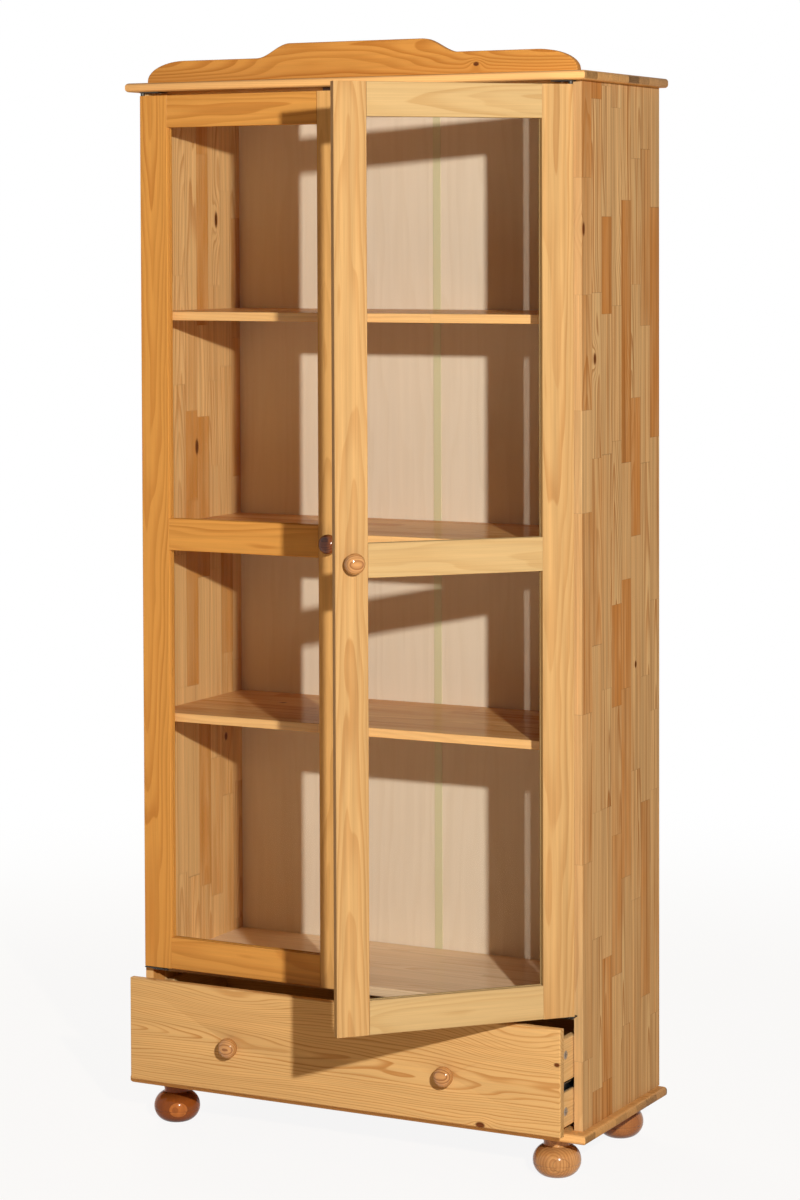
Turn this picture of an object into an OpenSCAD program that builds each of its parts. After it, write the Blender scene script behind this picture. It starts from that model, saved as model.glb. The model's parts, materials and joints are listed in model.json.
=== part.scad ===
// Freestanding pine display cabinet with two framed glass doors and one drawer.
// Millimetres, +Z up, front towards -Y. The origin is on the floor, under the centre
// of the whole cabinet as it stands here: right door ajar and drawer pulled a little.

/* [Carcass] */
// Outer width over the two side panels
carcass_w = 866; // [600:1:1200]
// Height of the side panels
carcass_h = 1770; // [1650:1:2100]
// Depth of the side panels
carcass_d = 332; // [300:1:450]
// Thickness of the solid pine boards
board_t = 16; // [15:0.5:22]
// How far the top board and the base board stand out past each side panel
side_overhang = 17; // [10:1:40]
// How far the top board stands out in front of the side panels
top_front_overhang = 25; // [22:1:45]
// How far the base board stands out in front of the side panels
base_front_overhang = 27; // [22:1:45]
// How far the base board stops short of the back
base_back_inset = 6; // [0:1:6]
// Rounding of the long edges of the top board and the base board
board_nose_r = 6; // [3:0.5:7]
// Rounding of the edges of the door and drawer boards
arris_r = 1.5; // [0.5:0.25:3]

/* [Crest board] */
// Length of the crest board
crest_l = 845; // [760:1:860]
// Height of the low shoulders
crest_low = 39; // [34:1:60]
// Height of the raised middle
crest_high = 63.5; // [61:0.5:90]
// Half length of the raised middle
crest_mid_half = 130; // [80:1:180]
// Length of the S-shaped step beside the middle
crest_step_l = 68; // [30:1:90]
// Length of the rounded end
crest_end_l = 76; // [50:1:110]
// Height of the blunt end above the top board
crest_toe = 4; // [2:0.5:8]
// Distance of the crest board behind the side panels' front edges
crest_setback = 7; // [0:1:40]

/* [Feet] */
// Height of a foot
foot_h = 68; // [60:1:90]
// Greatest diameter of a foot
foot_d = 83; // [76:1:90]
// Height of a foot's widest place
foot_belly_h = 26; // [24:1:28]
// Curve radius of a foot's side
foot_curve_r = 28; // [27:0.5:30]
// Diameter of the waist
foot_waist_d = 45; // [38:1:50]
// Diameter of the flared top
foot_top_d = 52; // [50:1:60]
// Distance of a foot's centre from the base board's side edge
foot_inset_x = 72; // [60:1:100]
// Distance of a foot's centre from the base board's front and back edge
foot_inset_y = 43; // [42:1:60]
// Diameter of the dowel that holds a foot
foot_dowel_d = 12; // [8:1:16]

/* [Doors] */
// Width of the stiles and rails
member_w = 57; // [48:1:70]
// Thickness of the door frames
door_t = 16; // [15:0.5:20]
// Gap between a closed door and the side panel behind it
door_back_gap = 2; // [1.8:0.1:3]
// How far the doors and the drawer front stay inside the side panels' outer faces
door_edge_inset = 9.5; // [5:0.5:12]
// Gap between the two doors
door_mid_gap = 4; // [3:0.5:6]
// Gap above the doors
door_top_gap = 7; // [6:0.5:10]
// How far the doors reach down over the floor board's front edge
door_floor_lap = 6; // [5:0.5:7]
// How far the right door stands open
right_door_open = 47; // [5:1:100]
// How far the left door stands open
left_door_open = 1; // [0:0.5:100]
// Distance of the pivot from a door's front face and outer edge
pivot_inset = 4; // [3.5:0.25:5]
// Diameter of the pivot pin
pivot_pin_d = 4; // [3:0.5:4]
// Length of pin inside a door
pivot_pin_l = 8; // [6:0.5:12]
// Glass thickness
glass_t = 4; // [3:0.5:5]
// Width of the rebate that holds the glass
rebate_w = 8; // [7:0.5:10]
// Depth of the wood left in front of the glass
glass_front = 8; // [6:0.5:9]
// Length of the tenons on the rails
tenon_l = 22; // [15:1:35]
// Thickness of the tenons
tenon_t = 6; // [5:0.5:7]
// Shoulder above and below each tenon
tenon_shoulder = 12; // [11:1:16]

/* [Knobs] */
// Greatest diameter of a knob
knob_d = 35; // [30:0.5:44]
// How far a knob stands out
knob_h = 28; // [26:0.5:36]
// Curve radius of a knob's side
knob_curve_r = 12.5; // [12:0.25:12.75]
// Diameter of a knob's neck
knob_neck_d = 16; // [12:0.5:22]
// Height of the door knobs above the base board
door_knob_z = 978; // [700:1:1200]
// Distance of the drawer knobs from the middle
drawer_knob_x = 212; // [120:1:300]
// Height of the drawer knobs above the drawer front's lower edge
drawer_knob_z = 83; // [50:1:110]
// Diameter of the knob screws
knob_screw_d = 4; // [3:0.5:5]

/* [Shelves] */
// Top of the floor board above the base board
floor_z = 204; // [185:1:260]
// Top of the lower shelf
lower_shelf_z = 656; // [500:1:760]
// Top of the middle shelf
middle_shelf_z = 992; // [940:1:1100]
// Top of the upper shelf
upper_shelf_z = 1378; // [1250:1:1500]
// Distance of the shelves behind the side panels' front edges
shelf_setback = 8; // [4:1:20]
// Clearance at each end of a loose shelf
shelf_end_gap = 0.5; // [0.3:0.1:1.5]
// Diameter of the shelf pins
shelf_pin_d = 5; // [4:0.5:6]
// How far a shelf pin stands out of the side panel
shelf_pin_out = 8; // [6:0.5:12]

/* [Back] */
// Thickness of the back panels
back_t = 4; // [3:0.5:5]
// Distance of the back panels in front of the side panels' rear edges
back_inset = 12; // [10:1:16]
// Width of the rebate in the side panels that takes the back panels
back_rebate = 8; // [6:0.5:10]
// Width of the strip that joins the back panels
strip_w = 15; // [12:0.5:24]
// Thickness of the strip's flanges
strip_t = 1; // [0.8:0.1:1.5]
// Number of nails down each side
nail_count = 7; // [4:1:12]

/* [Drawer] */
// How far the drawer is pulled out
drawer_pull = 51; // [0:1:190]
// Gap under the drawer front
drawer_front_gap = 4; // [3:0.5:8]
// Gap between the drawer front and the doors
drawer_door_gap = 11; // [9:0.5:14]
// Thickness of the drawer front
drawer_front_t = 16; // [15:0.5:20]
// Thickness of the drawer sides and back
drawer_side_t = 14; // [13.5:0.5:16]
// Height of the drawer sides
drawer_side_h = 150; // [110:1:160]
// Height of the drawer sides above the base board
drawer_side_z = 12; // [8:1:16]
// Length of the drawer sides
drawer_side_l = 300; // [260:1:302]
// Gap between the drawer sides and the side panels
drawer_side_gap = 2; // [1.5:0.25:3]
// Thickness of the drawer bottom
drawer_bottom_t = 4; // [3:0.5:6]
// Height of the drawer bottom above the drawer sides' lower edges
drawer_bottom_z = 10; // [8:1:20]
// Depth of the grooves that hold the drawer bottom
bottom_groove = 6; // [4:0.5:6.5]

/* [Runners] */
// Height of a runner
runner_h = 17; // [15:0.5:20]
// Length of a runner
runner_l = 278; // [220:1:285]
// Height of the runners' centre line above the base board
runner_z = 81; // [70:1:100]
// Wall thickness of the runner rails
runner_wall = 1.2; // [0.8:0.1:1.4]
// Depth of the groove in the drawer side that takes the runner
runner_groove = 8.5; // [8:0.25:9]
// Running clearance around the runner
runner_gap = 0.6; // [0.4:0.1:0.9]

/* [Fittings] */
// Diameter of the carcass dowels
dowel_d = 8; // [6:0.5:9]
// Length of the carcass dowels
dowel_l = 30; // [24:1:36]
// Diameter of the cam fittings in the drawer sides
cam_d = 15; // [12:0.5:16]
// Distance of a cam behind the drawer front
cam_back = 24; // [20:1:34]
// Diameter of the cam bolts
cam_bolt_d = 5; // [4:0.5:6]
// Height of the cams above and below the middle of the drawer side
cam_offset = 48; // [35:1:52]
// Thickness of the pivot plates
plate_t = 2; // [1.5:0.25:2.5]
// Radial play of a pin or dowel in its hole
hole_play = 0.05; // [0.03:0.01:0.1]

/* [Hidden] */

// Carcass places, measured from the side panels' front edges and the base board's top
half_w = carcass_w / 2;
half_in = half_w - board_t;
board_half = half_w + side_overhang;
back_y = carcass_d - back_inset;
shelf_back_y = back_y - strip_t - 0.5;
top_under = carcass_h;

// Doors
face_y = -door_back_gap - door_t;
door_half = half_w - door_edge_inset;
door_w = door_half - door_mid_gap / 2;
door_z0 = floor_z - door_floor_lap;
door_z1 = carcass_h - door_top_gap;
glass_h = (door_z1 - door_z0 - 3 * member_w) / 2;
glass_w = door_w - 2 * member_w;
lower_open_z = door_z0 + member_w;
middle_rail_z = lower_open_z + glass_h;
upper_open_z = middle_rail_z + member_w;
top_rail_z = door_z1 - member_w;
pivot_x = door_half - pivot_inset;
pivot_y = face_y + pivot_inset;
glass_lap = rebate_w - 1;
bead_t = door_t - glass_front - glass_t;
tenon_y = 4.5;

// Drawer
drawer_front_z0 = drawer_front_gap;
drawer_front_z1 = door_z0 - drawer_door_gap;
drawer_front_h = drawer_front_z1 - drawer_front_z0;
drawer_out_x = half_in - drawer_side_gap;
drawer_in_x = drawer_out_x - drawer_side_t;
drawer_bottom_low = drawer_side_z + drawer_bottom_z;
drawer_back_y = -door_back_gap + drawer_side_l - drawer_side_t;
groove_x = drawer_out_x - runner_groove;
groove_half = runner_h / 2 + 0.75;
rail_y0 = 10;
cam_zs = [drawer_side_z + drawer_side_h / 2 - cam_offset,
    drawer_side_z + drawer_side_h / 2 + cam_offset];

// Fittings
dowel_r = dowel_d / 2;
dowel_in_board = board_t - 5;
dowel_ys = [carcass_d * 0.18, carcass_d * 0.5, carcass_d * 0.82];
shelf_dowel_ys = [carcass_d * 0.21, carcass_d * 0.73];
crest_dowel_xs = [-crest_l / 3, 0, crest_l / 3];
crest_dowel_y = crest_setback + board_t / 2;
pin_ys = [carcass_d * 0.135, carcass_d * 0.82];
foot_x = board_half - foot_inset_x;
foot_ys = [-base_front_overhang + foot_inset_y, carcass_d - base_back_inset - foot_inset_y];
foot_dowel_r = foot_dowel_d / 2;
foot_dowel_up = board_t - 4;
foot_dowel_down = 30;
nail_r = 0.9;
nail_head_r = 2.5;
nail_l = 16;
nail_margin = carcass_h / 30;
nail_step = (carcass_h - 2 * nail_margin) / (nail_count - 1);
nail_zs = [for (i = [0 : nail_count - 1]) nail_margin + i * nail_step];
rail_screw_ys = [rail_y0 + runner_l * 0.1, rail_y0 + runner_l * 0.5, rail_y0 + runner_l * 0.9];
small_screw_r = 1.5;
small_head_r = 2.2;
bracket_in = 32;
bracket_screw_xs = [half_in - 8, half_in - 22];
pin_r = pivot_pin_d / 2;
magnet_x = 40;
magnet_w = 40;
magnet_h = 16;
magnet_d = 14;
strike_t = 1.5;
plate_l = member_w * 0.74;
plate_screw_l = tenon_shoulder - 1;
plate_screw_xs = [door_half - plate_l * 0.48, door_half - plate_l * 0.81];
back_screw_in = drawer_side_t * 1.4;
back_screw_zs = [drawer_side_z + drawer_side_h * 0.3, drawer_side_z + drawer_side_h * 0.83];
knob_curve_z = knob_h - knob_curve_r;
knob_screw_in = 14;

// Rest pose: the furthest point in front decides where the origin lies
knob_u = pivot_x - door_mid_gap / 2 - member_w / 2;
knob_reach = knob_curve_z - face_y + pivot_y;
knob_front = pivot_y - knob_u * sin(right_door_open) - knob_reach * cos(right_door_open)
    - (knob_d / 2 - knob_curve_r) * sin(right_door_open) - knob_curve_r;
corner_front = pivot_y - (pivot_x - door_mid_gap / 2) * sin(right_door_open)
    - pivot_inset * cos(right_door_open);
drawer_knob_front = face_y - drawer_pull - knob_h;
front_y = min(knob_front, corner_front, drawer_knob_front);
origin_y = (carcass_d + front_y) / 2;
origin_z = -foot_h - board_t;

// Moves the carcass frame so that the origin is on the floor under the middle
module placed() {
    translate([0, -origin_y, -origin_z]) children();
}

// Draws a piece of the right half and its mirror image
module both_sides() {
    children();
    mirror([1, 0, 0]) children();
}

// Closed right door turned open about its pivot
module right_door_pose() {
    placed() translate([pivot_x, pivot_y, 0]) rotate([0, 0, right_door_open])
        translate([-pivot_x, -pivot_y, 0]) children();
}

// The left door is the right one mirrored, with its own angle
module left_door_pose() {
    placed() mirror([1, 0, 0]) translate([pivot_x, pivot_y, 0])
        rotate([0, 0, left_door_open]) translate([-pivot_x, -pivot_y, 0]) children();
}

module drawer_pose() {
    placed() translate([0, -drawer_pull, 0]) children();
}

// Box between two corners
module block(low, high) {
    translate(low) cube(high - low);
}

// Rectangle with round corners
module round_rect(w, h, r) {
    translate([r, 0]) square([w - 2 * r, h]);
    translate([0, r]) square([w, h - 2 * r]);
    for (x = [r, w - r], y = [r, h - r]) translate([x, y]) circle(r, $fn = 32);
}

// Upright board with rounded long edges
module post(x0, x1, y0, y1, z0, z1, r) {
    translate([x0, y0, z0]) linear_extrude(z1 - z0) round_rect(x1 - x0, y1 - y0, r);
}

// Level board along X with rounded long edges
module beam(x0, x1, y0, y1, z0, z1, r) {
    translate([x0, y0, z0]) rotate([90, 0, 90]) linear_extrude(x1 - x0)
        round_rect(y1 - y0, z1 - z0, r);
}

// Level board along Y with rounded long edges
module joist(x0, x1, y0, y1, z0, z1, r) {
    translate([x0, y1, z0]) rotate([90, 0, 0]) linear_extrude(y1 - y0)
        round_rect(x1 - x0, z1 - z0, r);
}

// Rod along X, Y or Z from one point
module rod_x(p, r, l) {
    translate(p) rotate([0, 90, 0]) cylinder(r = r, h = l, $fn = 32);
}
module rod_y(p, r, l) {
    translate(p) rotate([-90, 0, 0]) cylinder(r = r, h = l, $fn = 32);
}
module rod_z(p, r, l) {
    translate(p) cylinder(r = r, h = l, $fn = 32);
}

// Dowels of the right half, or their holes where play is above zero
module right_dowels(play) {
    for (y = dowel_ys) {
        rod_z([half_w - board_t / 2, y, top_under + dowel_in_board - dowel_l - play],
            dowel_r - hole_play + play, dowel_l + 2 * play);
        rod_z([half_w - board_t / 2, y, -dowel_in_board - play],
            dowel_r - hole_play + play, dowel_l + 2 * play);
    }
    for (y = shelf_dowel_ys, z = [floor_z, middle_shelf_z])
        rod_x([half_w - 5 - dowel_l - play, y, z - board_t / 2],
            dowel_r - hole_play + play, dowel_l + 2 * play);
}

module crest_dowels(play) {
    for (x = crest_dowel_xs)
        rod_z([x, crest_dowel_y, top_under + 5 - play],
            dowel_r - hole_play + play, dowel_l + 2 * play);
}

module side_foot_dowels(play) {
    for (y = foot_ys)
        rod_z([foot_x, y, -board_t - foot_dowel_down - play],
            foot_dowel_r - hole_play + play, foot_dowel_down + foot_dowel_up + 2 * play);
}

module side_shelf_pins(play) {
    for (y = pin_ys, z = [lower_shelf_z, upper_shelf_z])
        rod_x([half_in - shelf_pin_out, y, z - board_t - shelf_pin_d / 2 - hole_play],
            shelf_pin_d / 2 - hole_play + play, shelf_pin_out + 9 + play);
}

module side_nails(play) {
    for (z = nail_zs)
        rod_y([half_in + back_rebate / 2, back_y + back_t - nail_l - play, z],
            nail_r - hole_play + play, nail_l + play);
}

module rail_screws(play) {
    for (y = rail_screw_ys)
        rod_x([half_in - runner_wall, y, runner_z],
            small_screw_r - hole_play + play, 12 + play);
}

module side_panel() {
    color("burlywood") difference() {
        post(half_in, half_w, 0, carcass_d, 0, top_under, arris_r / 2);
        block([half_in - 1, back_y, -1], [half_in + back_rebate, carcass_d + 1, top_under + 1]);
        right_dowels(hole_play);
        side_shelf_pins(hole_play);
        side_nails(hole_play);
        rail_screws(hole_play);
    }
}

// Board with a rounded front and rounded side edges
module nosed_board(y0, y1, z0) {
    intersection() {
        beam(-board_half, board_half, y0, y1 + 2 * board_nose_r, z0, z0 + board_t,
            board_nose_r);
        joist(-board_half, board_half, y0, y1, z0, z0 + board_t, board_nose_r);
    }
}

module top_board() {
    color("sandybrown") difference() {
        nosed_board(-top_front_overhang, carcass_d, top_under);
        both_sides() right_dowels(hole_play);
        crest_dowels(hole_play);
        both_sides() upper_bracket_screws(hole_play);
    }
}

module base_board() {
    color("sandybrown") difference() {
        nosed_board(-base_front_overhang, carcass_d - base_back_inset, -board_t);
        both_sides() right_dowels(hole_play);
        both_sides() side_foot_dowels(hole_play);
    }
}

// Half outline of the crest: blunt end, convex rise, shoulder, S step and middle
function crest_half() = let (
        end_x = crest_l / 2,
        shoulder_x = crest_mid_half + crest_step_l,
        end_pts = [for (a = [0 : 7.5 : 90]) [end_x - crest_end_l * (1 - cos(a)),
            crest_toe + (crest_low - crest_toe) * sin(a)]],
        step_pts = [for (i = [0 : 16]) let (t = i / 16) [shoulder_x - crest_step_l * t,
            crest_low + (crest_high - crest_low) * (1 - cos(180 * t)) / 2]]
    ) concat([[end_x, 0]], end_pts, step_pts);

function mirrored(pts) = [for (i = [len(pts) - 1 : -1 : 0]) [-pts[i][0], pts[i][1]]];

module crest_board() {
    color("sandybrown") difference() {
        translate([0, crest_setback + board_t, top_under + board_t]) rotate([90, 0, 0])
            linear_extrude(board_t) polygon(concat(crest_half(), mirrored(crest_half())));
        crest_dowels(hole_play);
    }
}

module fixed_shelf(z, y0) {
    color("burlywood") difference() {
        beam(-half_in, half_in, y0, shelf_back_y, z - board_t, z, arris_r);
        both_sides() right_dowels(hole_play);
        lower_bracket_screws(hole_play);
        mirror([1, 0, 0]) lower_bracket_screws(hole_play);
    }
}

module loose_shelf(z) {
    color("burlywood") beam(-half_in + shelf_end_gap, half_in - shelf_end_gap,
        shelf_setback, shelf_back_y, z - board_t, z, arris_r);
}

module back_panel() {
    color("wheat") difference() {
        block([strip_t / 2 + 0.1, back_y, 1],
            [half_in + back_rebate - 0.3, back_y + back_t, top_under - 1]);
        side_nails(hole_play);
    }
}

// H-shaped strip: a flange in front, a web between the panels and a flange behind
module back_joint_strip() {
    color("darkseagreen") {
        block([-strip_w / 2, back_y - strip_t, 0.5], [strip_w / 2, back_y, top_under - 0.5]);
        block([-strip_t / 2, back_y, 0.5], [strip_t / 2, back_y + back_t, top_under - 0.5]);
        block([-strip_w / 2, back_y + back_t, 0.5],
            [strip_w / 2, back_y + back_t + strip_t, top_under - 0.5]);
    }
}

module back_nails() {
    color("silver") both_sides() {
        side_nails(0);
        for (z = nail_zs)
            rod_y([half_in + back_rebate / 2, back_y + back_t, z], nail_head_r, 1);
    }
}

// Turned foot: flared neck over a bun with a scored line
module foot(x, y) {
    belly_x = foot_d / 2 - foot_curve_r;
    groove_z = foot_belly_h - 4;
    groove_x0 = belly_x + sqrt(foot_curve_r ^ 2 - 4 ^ 2);
    top_z = foot_belly_h + foot_curve_r;
    color("peru") translate([x, y, -board_t - foot_h]) difference() {
        union() {
            rotate_extrude($fn = 64) difference() {
                union() {
                    intersection() {
                        translate([belly_x, foot_belly_h]) circle(foot_curve_r, $fn = 64);
                        square([foot_d, top_z]);
                    }
                    square([belly_x, top_z]);
                }
                translate([groove_x0 + 0.6, groove_z]) circle(1.6, $fn = 24);
            }
            translate([0, 0, top_z - 6])
                cylinder(d1 = foot_waist_d, d2 = foot_top_d, h = foot_h - top_z + 6, $fn = 64);
        }
        rod_z([0, 0, foot_h - foot_dowel_down - hole_play], foot_dowel_r,
            foot_dowel_down + 1);
    }
}

module foot_dowels() {
    color("tan") both_sides() side_foot_dowels(0);
}

module door_magnets() {
    color("saddlebrown") both_sides()
        block([magnet_x - magnet_w / 2, 0.3, top_under - magnet_h],
            [magnet_x + magnet_w / 2, magnet_d, top_under]);
}

module lower_bracket_screws(play) {
    for (x = bracket_screw_xs)
        rod_y([x, -1.5, floor_z - board_t + 4.5], small_screw_r - hole_play + play, 14);
}

module upper_bracket_screws(play) {
    for (x = bracket_screw_xs)
        rod_z([x, 6, top_under - plate_t], small_screw_r - hole_play + play, plate_t + 11);
}

// Lower bracket: tongue under the door, flange on the floor board's edge, upright pin
module lower_bracket() {
    tongue_z = door_z0 - 1 - plate_t;
    difference() {
        union() {
            block([half_in - bracket_in, face_y, tongue_z],
                [door_half, 0, tongue_z + plate_t]);
            block([half_in - bracket_in, -1.5, floor_z - board_t + 1],
                [half_in - 0.2, 0, tongue_z + 0.1]);
            rod_z([pivot_x, pivot_y, tongue_z + plate_t - 0.1], pin_r + 1.6, 0.8);
            rod_z([pivot_x, pivot_y, tongue_z + plate_t - 0.1], pin_r, pivot_pin_l + 1.1);
        }
        lower_bracket_screws(hole_play);
    }
}

// Upper bracket: plate under the top board with a hanging pin
module upper_bracket() {
    plate_z = top_under - plate_t;
    difference() {
        union() {
            block([half_in - bracket_in, face_y, plate_z], [door_half, -0.3, top_under]);
            block([half_in - bracket_in, -0.4, plate_z], [half_in - 0.2, 14, top_under]);
            rod_z([pivot_x, pivot_y, door_z1 + 0.3], pin_r + 1.6,
                door_top_gap - plate_t - 0.2);
            rod_z([pivot_x, pivot_y, door_z1 - pivot_pin_l], pin_r, pivot_pin_l + 1);
        }
        upper_bracket_screws(hole_play);
    }
}

module pivot_brackets() {
    color("silver") both_sides() {
        lower_bracket();
        upper_bracket();
    }
}

// Rail on the side panel: a channel open towards the drawer
module cabinet_rail() {
    low_x = groove_x + 0.8;
    difference() {
        block([low_x, rail_y0, runner_z - runner_h / 2],
            [half_in, rail_y0 + runner_l, runner_z + runner_h / 2]);
        block([low_x - 1, rail_y0 - 1, runner_z - runner_h / 2 + runner_wall],
            [half_in - runner_wall, rail_y0 + runner_l + 1,
                runner_z + runner_h / 2 - runner_wall]);
        rail_screws(hole_play);
    }
}

// Rail on the drawer side: a smaller channel that slides inside
module drawer_rail() {
    half_h = runner_h / 2 - runner_wall - runner_gap;
    out_x = half_in - runner_wall - 1.2;
    difference() {
        block([groove_x, rail_y0 - 4, runner_z - half_h],
            [out_x, rail_y0 + runner_l, runner_z + half_h]);
        block([groove_x + runner_wall * 0.6, rail_y0 - 5, runner_z - half_h + runner_wall],
            [out_x + 1, rail_y0 + runner_l + 1, runner_z + half_h - runner_wall]);
    }
}

module cabinet_screws() {
    color("gray") both_sides() {
        rail_screws(0);
        for (y = rail_screw_ys)
            rod_x([half_in - runner_wall - 1, y, runner_z], small_head_r, 1);
        lower_bracket_screws(0);
        for (x = bracket_screw_xs)
            rod_y([x, -2.2, floor_z - board_t + 4.5], small_head_r, 0.7);
        upper_bracket_screws(0);
        for (x = bracket_screw_xs)
            rod_z([x, 6, top_under - plate_t - 1.2], small_head_r, 1.2);
    }
}

// Recess for a pivot plate and the bore above or below it
module pivot_recess(z, up) {
    z0 = up > 0 ? z - 1 : z - plate_t;
    bore_z = up > 0 ? z : z - pivot_pin_l - 1;
    block([door_half - plate_l, face_y + 1, z0], [door_half - 1, face_y + door_t - 1,
        z0 + plate_t + 1]);
    rod_z([pivot_x, pivot_y, bore_z], pin_r + 0.4, pivot_pin_l + 1);
}

module door_plate_screws(play) {
    for (x = plate_screw_xs) {
        rod_z([x, face_y + door_t / 2, door_z0], small_screw_r - hole_play + play,
            plate_screw_l);
        rod_z([x, face_y + door_t / 2, door_z1 - plate_screw_l],
            small_screw_r - hole_play + play, plate_screw_l);
    }
}

// Rebate behind one glass opening
module glass_rebate(z) {
    block([door_half - door_w + member_w - rebate_w, face_y + glass_front, z - rebate_w],
        [door_half - member_w + rebate_w, face_y + door_t + 1, z + glass_h + rebate_w]);
}

// Tenons of one rail, or their mortises where play is above zero
module tenons(z, play) {
    block([door_half - door_w + member_w - tenon_l - play, face_y + tenon_y - play,
        z + tenon_shoulder - play],
        [door_half - member_w + tenon_l + play, face_y + tenon_y + tenon_t + play,
            z + member_w - tenon_shoulder + play]);
}

module knob_screw_hole() {
    rod_y([door_half - door_w + member_w / 2, face_y - 1, door_knob_z],
        knob_screw_d / 2 + hole_play, door_t + 2);
}

module hinge_stile() {
    color("goldenrod") difference() {
        post(door_half - member_w, door_half, face_y, face_y + door_t, door_z0, door_z1,
            arris_r);
        for (z = [lower_open_z, upper_open_z]) glass_rebate(z);
        for (z = [door_z0, middle_rail_z, top_rail_z]) tenons(z, 0.1);
        pivot_recess(door_z0, 1);
        pivot_recess(door_z1, -1);
        door_plate_screws(hole_play);
    }
}

module free_stile() {
    x0 = door_half - door_w;
    color("goldenrod") difference() {
        post(x0, x0 + member_w, face_y, face_y + door_t, door_z0, door_z1, arris_r);
        for (z = [lower_open_z, upper_open_z]) glass_rebate(z);
        for (z = [door_z0, middle_rail_z, top_rail_z]) tenons(z, 0.1);
        knob_screw_hole();
    }
}

module door_rail(z) {
    color("goldenrod") difference() {
        union() {
            beam(door_half - door_w + member_w, door_half - member_w, face_y,
                face_y + door_t, z, z + member_w, arris_r);
            tenons(z, 0);
        }
        for (g = [lower_open_z, upper_open_z]) glass_rebate(g);
    }
}

module door_glass(z) {
    color([0.8, 0.9, 0.88, 0.4])
        block([door_half - door_w + member_w - glass_lap, face_y + glass_front, z - glass_lap],
            [door_half - member_w + glass_lap, face_y + glass_front + glass_t,
                z + glass_h + glass_lap]);
}

// Square beads that hold both panes from behind
module glass_beads() {
    x0 = door_half - door_w + member_w - rebate_w + 0.2;
    x1 = door_half - member_w + rebate_w - 0.2;
    bead_w = rebate_w - 0.2;
    y0 = face_y + glass_front + glass_t;
    y1 = y0 + bead_t;
    color("tan") for (z = [lower_open_z, upper_open_z]) {
        z0 = z - rebate_w + 0.2;
        z1 = z + glass_h + rebate_w - 0.2;
        block([x0, y0, z0], [x0 + bead_w, y1, z1]);
        block([x1 - bead_w, y0, z0], [x1, y1, z1]);
        block([x0 + bead_w, y0, z0], [x1 - bead_w, y1, z0 + bead_w]);
        block([x0 + bead_w, y0, z1 - bead_w], [x1 - bead_w, y1, z1]);
    }
}

// Turned knob standing towards -Y, its foot at the given point
module knob(p) {
    core_r = knob_d / 2 - knob_curve_r;
    color("chocolate") translate(p) rotate([90, 0, 0]) difference() {
        rotate_extrude($fn = 64) union() {
            translate([core_r, knob_curve_z]) intersection() {
                circle(knob_curve_r, $fn = 48);
                translate([-core_r, -knob_curve_r]) square([knob_d, 2 * knob_curve_r]);
            }
            translate([0, knob_curve_z - knob_curve_r]) square([core_r, 2 * knob_curve_r]);
            square([knob_neck_d / 2, knob_curve_z - knob_curve_r + 3]);
        }
        translate([0, 0, -1])
            cylinder(r = knob_screw_d / 2 + hole_play, h = knob_screw_in + 1.1, $fn = 32);
    }
}

module door_knob() {
    knob([door_half - door_w + member_w / 2, face_y, door_knob_z]);
}

// Pan-head screw that passes a board of thickness t into a knob
module knob_screw(x, y, z, t) {
    rod_y([x, y - knob_screw_in, z], knob_screw_d / 2, knob_screw_in + t);
    rod_y([x, y + t, z], knob_screw_d, 1.6);
}

module door_screws() {
    color("gray") {
        knob_screw(door_half - door_w + member_w / 2, face_y, door_knob_z, door_t);
        door_plate_screws(0);
    }
}

module strike_plate() {
    color("silver") block([magnet_x - 14, face_y + door_t, top_under - magnet_h + 1],
        [magnet_x + 14, face_y + door_t + strike_t - 0.1, door_z1 - 1]);
}

module pivot_plates() {
    color("silver") for (z = [door_z0, door_z1 - plate_t]) difference() {
        block([door_half - plate_l, face_y + 1, z],
            [door_half - 1, face_y + door_t - 1, z + plate_t]);
        rod_z([pivot_x, pivot_y, z - 1], pin_r + hole_play, plate_t + 2);
        door_plate_screws(hole_play);
    }
}

module drawer_front() {
    x = door_half;
    r = arris_r * 2;
    color("burlywood") difference() {
        intersection() {
            beam(-x, x, face_y, face_y + drawer_front_t, drawer_front_z0, drawer_front_z1, r);
            post(-x, x, face_y, face_y + drawer_front_t, drawer_front_z0, drawer_front_z1, r);
        }
        block([-drawer_in_x - bottom_groove, face_y + drawer_front_t - bottom_groove,
            drawer_bottom_low], [drawer_in_x + bottom_groove, face_y + drawer_front_t + 1,
            drawer_bottom_low + drawer_bottom_t + 0.2]);
        both_sides() rod_y([drawer_knob_x, face_y - 1, drawer_front_z0 + drawer_knob_z],
            knob_screw_d / 2 + hole_play, drawer_front_t + 2);
        both_sides() side_cam_bolts(hole_play);
    }
}

// Cam bolts of one side: screwed into the front, their heads inside the cams
module side_cam_bolts(play) {
    for (z = cam_zs)
        rod_y([drawer_out_x - drawer_side_t / 2, face_y + drawer_front_t - 10 - play, z],
            cam_bolt_d / 2 - hole_play + play, cam_back + 10 + 2 * play);
}

module side_cams(play) {
    for (z = cam_zs)
        rod_x([drawer_out_x - drawer_side_t + 2 - play, face_y + drawer_front_t + cam_back, z],
            cam_d / 2 - hole_play + play, drawer_side_t - 2 + play * 3);
}

module drawer_side() {
    y0 = face_y + drawer_front_t;
    color("burlywood") difference() {
        joist(drawer_in_x, drawer_out_x, y0, y0 + drawer_side_l, drawer_side_z,
            drawer_side_z + drawer_side_h, arris_r * 2);
        block([groove_x, y0 - 1, runner_z - groove_half],
            [drawer_out_x + 1, y0 + drawer_side_l + 1, runner_z + groove_half]);
        block([drawer_in_x - 1, y0 - 1, drawer_bottom_low], [drawer_in_x + bottom_groove + 0.2,
            y0 + drawer_side_l + 1, drawer_bottom_low + drawer_bottom_t + 0.2]);
        side_cams(hole_play);
        side_cam_bolts(hole_play);
        back_screws(hole_play);
    }
}

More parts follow.
